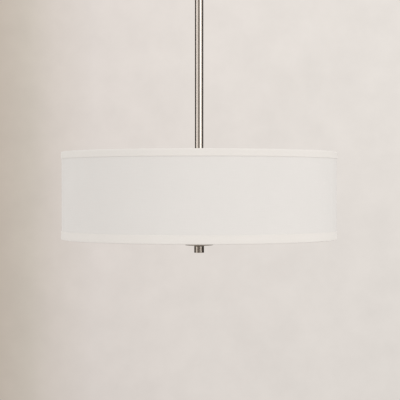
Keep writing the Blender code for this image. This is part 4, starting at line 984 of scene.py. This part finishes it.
def make_shade_frame():
    """The two wire rings, and the recessed spider with its weld beads and hub."""
    low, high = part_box("bottom_ring")
    ring_radius = high.x - RING_WIRE_RADIUS
    bottom = as_object("bottom_wire_ring", wire_ring(ring_radius, (low.z + high.z) / 2))
    finish_piece(bottom, "bottom_ring", "powder_coat")
    ring_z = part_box("top_ring_and_spider")[1].z - RING_WIRE_RADIUS
    hub_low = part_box("cluster_body")[1].z + SEAT_GAP
    spoke_z = hub_low + SPOKE_LIFT + SPOKE_RADIUS
    bend = (ring_radius - SPOKE_BEND, spoke_z + SPOKE_BEND)
    route = [(ring_radius, ring_z), (ring_radius, bend[1] + SEAT_GAP)]
    route += arc(bend, SPOKE_BEND, 0, -90, 10) + [(SPOKE_INNER_RADIUS, spoke_z)]
    hub = stepped(PIPE_HOLE_RADIUS, hub_low, HUB_RADIUS, hub_low + HUB_THICKNESS)
    parts = [(wire_ring(ring_radius, ring_z), upright()), (spun(hub, METAL_EDGE), upright())]
    shoulder = BEAD_HALF_HEIGHT / 2
    bead = [(0.0, -BEAD_HALF_HEIGHT), (BEAD_RADIUS, -shoulder), (BEAD_RADIUS, shoulder)]
    bead = softened(bead + [(0.0, BEAD_HALF_HEIGHT)], BEAD_CORNER, 4)
    for azimuth in SPOKE_DEGREES:
        turn = rotation(azimuth, "Z")
        parts.append((swept(route, SPOKE_RADIUS, WIRE_SEGMENTS), turn))
        for radius, level in ((ring_radius, ring_z - shoulder), (HUB_RADIUS, spoke_z - BEAD_SINK)):
            parts.append((spun(bead, None, WIRE_SEGMENTS), turn @ upright(radius, 0.0, level)))
    joined = bmesh.new()
    joined.loops.layers.uv.new("UVMap")
    for part, place in parts:
        part.transform(place)
        scrap = bpy.data.meshes.new("scrap")
        part.to_mesh(scrap)
        part.free()
        joined.from_mesh(scrap)
        bpy.data.meshes.remove(scrap)
    top = as_object("spider_and_top_ring", joined)
    finish_piece(top, "top_ring_and_spider", "powder_coat")
    return top, bottom


# The cluster, lampholders and bulbs


def make_cluster():
    radius, low, high = span("cluster_body")
    centre = (radius - CLUSTER_CORNER, high - CLUSTER_CORNER)
    profile = [(radius, low)] + arc(centre, CLUSTER_CORNER, 0, 90, 10)
    profile += [(PIPE_HOLE_RADIUS, high), (PIPE_HOLE_RADIUS, high - CLUSTER_WALL)]
    profile += arc(centre, CLUSTER_CORNER - CLUSTER_WALL, 90, 0, 8)
    profile += [(radius - CLUSTER_WALL, low)]
    arm_z = (low + high) / 2
    places = (arm_place(number, arm_z) for number in range(3))
    steps = holes(PIPE_HOLE_RADIUS, ARM_START, HOLDER_START, *places)
    carved("cluster_body", spun(profile, FINE_EDGE), steps, "nickel_around")
    cover_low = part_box("cluster_cover")[0].z
    plate_top = cover_low + COVER_THICKNESS
    lip = radius - CLUSTER_WALL - SEAT_GAP
    lip_inner, lip_top = lip - COVER_LIP_WALL, plate_top + COVER_LIP_HEIGHT
    profile = stepped(PIPE_HOLE_RADIUS, plate_top, lip_inner, lip_top, lip, plate_top, radius, cover_low)
    turned("cluster_cover", profile, METAL_EDGE, "nickel_around")
    make_nut("cluster_nut", PIPE_NUT_FLAT, PIPE_HOLE_RADIUS)
    return arm_z


def arm_place(number, height):
    """Turns a shape about Z into one along an arm, outwards from the centre pipe."""
    return upright(z=height) @ rotation(90 + 120 * number, "Z") @ rotation(90, "Y")


def base_thread(angle, radius, height):
    """Rolls a coarse round thread into a bulb's base, fading out at both ends."""
    if abs(radius - BULB_BASE_RADIUS) > TINY:
        return radius, height
    share = (height - BULB_TIP_HEIGHT - BULB_CONE_HEIGHT) / BULB_THREAD_LENGTH
    fade = max(0.0, min(1.0, share * 8, (1.0 - share) * 6))
    wave = 0.5 - 0.5 * math.cos(math.tau * height / BULB_THREAD_PITCH - angle)
    return radius - BULB_THREAD_DEPTH * wave * fade, height


def make_arms(arm_z):
    """The three arms, each with its lampholder, screw shell and bulb."""
    collar_end = ARM_COLLAR_START + ARM_COLLAR_WIDTH
    arm_end = HOLDER_START + ARM_IN_HOLDER
    arm = stepped(
        PIPE_BORE_RADIUS, ARM_START, PIPE_RADIUS, ARM_COLLAR_START,
        ARM_COLLAR_RADIUS, collar_end, PIPE_RADIUS, arm_end,
    )
    neck_radius = HOLDER_RADIUS - HOLDER_NECK_STEP
    holder = [(PIPE_HOLE_RADIUS, 0.0), (neck_radius - HOLDER_NECK_STEP, 0.0)]
    holder += [(neck_radius, HOLDER_NECK_STEP), (neck_radius, HOLDER_NECK_LENGTH)]
    holder += [(HOLDER_RADIUS, HOLDER_NECK_LENGTH + HOLDER_NECK_STEP), (HOLDER_RADIUS, HOLDER_LENGTH)]
    holder += [(HOLDER_BORE_RADIUS, HOLDER_LENGTH), (HOLDER_BORE_RADIUS, HOLDER_FLOOR)]
    holder += [(PIPE_HOLE_RADIUS, HOLDER_FLOOR)]
    inner = SHELL_RADIUS - SHELL_WALL
    shell = stepped(SHELL_CONTACT_HOLE, 0.0, SHELL_RADIUS, SHELL_LENGTH, inner, SHELL_WALL)
    cone_end = BULB_TIP_HEIGHT + BULB_CONE_HEIGHT
    base_end = cone_end + BULB_THREAD_LENGTH
    inner = BULB_BASE_RADIUS - BULB_BASE_WALL - BULB_THREAD_DEPTH
    base = [(0.0, 0.0), (BULB_TIP_RADIUS * 0.7, 0.0), (BULB_TIP_RADIUS, BULB_TIP_HEIGHT * 0.6)]
    base += [(BULB_TIP_RADIUS, BULB_TIP_HEIGHT), (BULB_CONE_RADIUS, BULB_TIP_HEIGHT)]
    base += [(BULB_BASE_RADIUS - BULB_BASE_WALL, cone_end - BULB_TIP_HEIGHT / 2)]
    base += divided((BULB_BASE_RADIUS, cone_end), (BULB_BASE_RADIUS, base_end), BULB_THREAD_ROWS)
    base += [(BULB_BASE_RADIUS, base_end), (inner, base_end), (inner, cone_end), (0.0, cone_end)]
    crown = GLASS_LENGTH - GLASS_RADIUS
    neck = [(radius * GLASS_RADIUS, length * crown) for length, radius in BULB_NECK_SHARES]
    glass = [(0.0, SEAT_GAP / 2)] + smooth_through(neck + [(GLASS_RADIUS, crown)], 8)
    glass += arc((0.0, crown), GLASS_RADIUS, 0, 88, 26)[1:] + [(0.0, GLASS_LENGTH)]
    plan = (
        ("socket_arm", arm, PIPE_CHAMFER, 0.0, "pipe_thread", None),
        ("lampholder", holder, SOFT_EDGE, HOLDER_START, "ceramic", None),
        ("screw_shell", shell, SHELL_WALL / 3, SHELL_START, "brass", None),
        ("bulb_base", base, None, BULB_START, "aluminium", base_thread),
        ("bulb_glass", glass, None, GLASS_START, "opal", None),
    )
    for number in range(3):
        for kind, profile, edge, start, look, shape in plan:
            node = f"{kind}_{number + 1}"
            body = node if kind.startswith("bulb") else "stem_and_shade"
            place = arm_place(number, arm_z) @ upright(z=start)
            piece = turned(node, profile, edge, look, body, shape=shape, place=place)
            if kind == "bulb_base":
                blacken_cone(piece, place, cone_end)


def blacken_cone(piece, place, cone_end):
    """Gives the cone between a bulb's tip and its threaded shell the insulator's look."""
    piece.data.materials.append(looks["insulator"][0])
    back = place.inverted()
    for face in piece.data.polygons:
        local = back @ face.center
        if BULB_TIP_HEIGHT * 0.9 < local.z < cone_end - BULB_TIP_HEIGHT / 4:
            face.material_index = 1


# The diffuser and what holds it


def make_diffuser():
    make_nut("diffuser_nut", PIPE_NUT_FLAT, PIPE_HOLE_RADIUS)
    make_ring("diffuser_washer", PIPE_HOLE_RADIUS, FINE_EDGE, "zinc")
    make_ring("diffuser", PIPE_HOLE_RADIUS, METAL_EDGE, "frosted", "diffuser_set", DRUM_SEGMENTS)
    radius, low, high = span("diffuser_cup")
    centre = (radius - CUP_CORNER, low + CUP_DOME + CUP_CORNER)
    profile = [(PIPE_HOLE_RADIUS, low), (CUP_FLAT_RADIUS, low)]
    profile += arc(centre, CUP_CORNER, -88, 0, 8) + [(radius, high), (radius - CUP_WALL, high)]
    profile += arc(centre, CUP_CORNER - CUP_WALL, 0, -88, 6)
    profile += [(CUP_FLAT_RADIUS, low + CUP_WALL), (PIPE_HOLE_RADIUS, low + CUP_WALL)]
    # The cup and the finial take the darker copies of the nickel, which paint in shade.
    turned("diffuser_cup", profile, FINE_EDGE, "nickel_cup_painted_shade", "diffuser_set")
    radius, low, high = span("finial")
    profile = stepped(0.0, low + FINIAL_END_WALL, PIPE_HOLE_RADIUS, high, radius, low)
    turned("finial", profile, METAL_EDGE, "nickel_painted_shade", "finial")


# Camera, light and floor


def make_camera():
    lens = bpy.data.cameras.new("camera")
    lens.sensor_width = SENSOR_WIDTH
    lens.lens = CAMERA_LENS
    camera = add_object("camera", lens)
    camera.location = (0.0, -CAMERA_DISTANCE, CAMERA_HEIGHT)
    camera.rotation_euler = (math.pi / 2 - CAMERA_PITCH, 0.0, -CAMERA_YAW)
    bpy.context.scene.camera = camera


def outwards(azimuth, elevation=0.0):
    """A direction away from the light. Azimuth 0 is towards the camera, positive to its right."""
    turn, lift = math.radians(azimuth), math.radians(elevation)
    return Vector((math.sin(turn) * math.cos(lift), -math.cos(turn) * math.cos(lift), math.sin(lift)))


def area_light(name, azimuth, elevation, distance, width, height, power):
    """A soft rectangular light that faces the shade."""
    data = bpy.data.lights.new(name, "AREA")
    data.shape = "RECTANGLE"
    data.size, data.size_y = width, height
    data.energy = power
    data.color = LAMP_COLOUR
    light = add_object(name, data)
    away = outwards(azimuth, elevation)
    light.location = STUDIO_CENTRE + away * distance
    light.rotation_euler = away.to_track_quat("Z", "Y").to_euler()


def reflected_card(name, azimuth, width, top, shade):
    """An upright card that only reflections see, so that the metal has its dark bands."""
    look = bpy.data.materials.new(name)
    look.use_nodes = True
    show(look, add_node(look, "ShaderNodeEmission", {"Color": (*shade, 1.0)}).outputs[0])
    away = outwards(azimuth)
    across = Vector((away.y, -away.x, 0.0)) * width / 2
    foot = away * CARD_DISTANCE + Vector((0.0, 0.0, CARD_FOOT))
    head = away * CARD_DISTANCE + Vector((0.0, 0.0, top))
    mesh = bpy.data.meshes.new(name)
    corners = [foot - across, foot + across, head + across, head - across]
    mesh.from_pydata(corners, [], [(0, 1, 2, 3)])
    mesh.materials.append(look)
    card = add_object(name, mesh)
    for ray in ("camera", "diffuse", "transmission", "volume_scatter", "shadow"):
        setattr(card, f"visible_{ray}", False)


def ramp(look, share, stops):
    """A colour that runs through stops of a place from 0 to 1 and a linear colour."""
    node = add_node(look, "ShaderNodeValToRGB", {0: share})
    elements = node.color_ramp.elements
    elements.remove(elements[1])
    elements[0].color = (*stops[0][1], 1.0)
    for place, colour in stops[1:]:
        elements.new(place).color = (*colour, 1.0)
    return node.outputs[0]


def make_world():
    """A pale plaster backdrop for the camera, reflections and glass, and plain soft light for the rest."""
    world = bpy.data.worlds.new("studio")
    bpy.context.scene.world = world
    world.use_nodes = True
    direction = add_node(world, "ShaderNodeTexCoord").outputs["Generated"]
    parts = add_node(world, "ShaderNodeSeparateXYZ", {0: direction}).outputs
    left, right = BACKDROP_COLOURS[0][0], BACKDROP_COLOURS[-1][0]
    across = level_between(world, parts[0], 0.0, 1.0, left, right)
    stops = [((place - left) / (right - left), linear(*levels)) for place, levels in BACKDROP_COLOURS]
    dim, bright = 1.0 - BACKDROP_RISE, 1.0 + BACKDROP_RISE
    rise = level_between(world, parts[2], dim, bright, -BACKDROP_RISE_TO, BACKDROP_RISE_TO)
    mottle = streaks(world, direction, MOTTLE_SCALE)
    mottle = level_between(world, mottle, 1.0 - MOTTLE_DEPTH, 1.0 + MOTTLE_DEPTH)
    strength = calculate(world, "MULTIPLY", rise, mottle)
    inputs = {"Color": ramp(world, across, stops), "Strength": strength}
    backdrop = add_node(world, "ShaderNodeBackground", inputs).outputs[0]
    upward = level_between(world, parts[2], 0.0, 1.0, -1.0, 1.0)
    stops = [(place, (level, level, level)) for place, level in WORLD_STRENGTHS]
    inputs = {"Color": (*WORLD_COLOUR, 1.0), "Strength": ramp(world, upward, stops)}
    plain = add_node(world, "ShaderNodeBackground", inputs).outputs[0]
    rays = add_node(world, "ShaderNodeLightPath").outputs
    seen = calculate(world, "MAXIMUM", rays["Is Camera Ray"], rays["Is Glossy Ray"])
    seen = calculate(world, "MAXIMUM", seen, rays["Is Transmission Ray"])
    mixed = add_node(world, "ShaderNodeMixShader", {0: seen, 1: plain, 2: backdrop})
    show(world, mixed.outputs[0], "World Output")


def make_floor():
    """A pale round floor well below the light, whose edge fades into the backdrop."""
    mesh_data = bmesh.new()
    bmesh.ops.create_circle(mesh_data, cap_ends=True, radius=FLOOR_RADIUS, segments=FLOOR_SEGMENTS)
    floor = as_object("floor", mesh_data, upright(z=FLOOR_HEIGHT))
    look, place = new_look("floor_plaster", "Object")
    flat = add_node(look, "ShaderNodeVectorMath", {0: place, 1: (1.0, 1.0, 0.0)}, operation="MULTIPLY")
    reach = add_node(look, "ShaderNodeVectorMath", {0: flat.outputs[0]}, operation="LENGTH").outputs[1]
    fade = level_between(look, reach, 0.0, 1.0, FLOOR_FADE_START, FLOOR_FADE_END, "SMOOTHSTEP")
    grain = streaks(look, place, (30.0, 30.0, 30.0))
    colour = colour_between(look, grain, linear(222, 214, 207), linear(228, 221, 214))
    dress(look, colour, 0.85, grain, bump=0.05, depth=0.0005, fixed={})
    clear = add_node(look, "ShaderNodeBsdfTransparent").outputs[0]
    shader = look.node_tree.nodes["Principled BSDF"].outputs[0]
    show(look, add_node(look, "ShaderNodeMixShader", {0: fade, 1: shader, 2: clear}).outputs[0])
    floor.data.materials.append(look)


looks = make_looks()
make_camera()
make_world()
for lamp in LAMPS:
    area_light(*lamp)
for card in CARDS:
    reflected_card(*card)
make_floor()

make_ceiling_set()
make_stem()
skin, skin_cut = make_skin()
bands = make_bands()
top_wire, bottom_wire = make_shade_frame()
make_arms(make_cluster())
make_diffuser()

bpy.context.scene.view_settings.view_transform = "Standard"
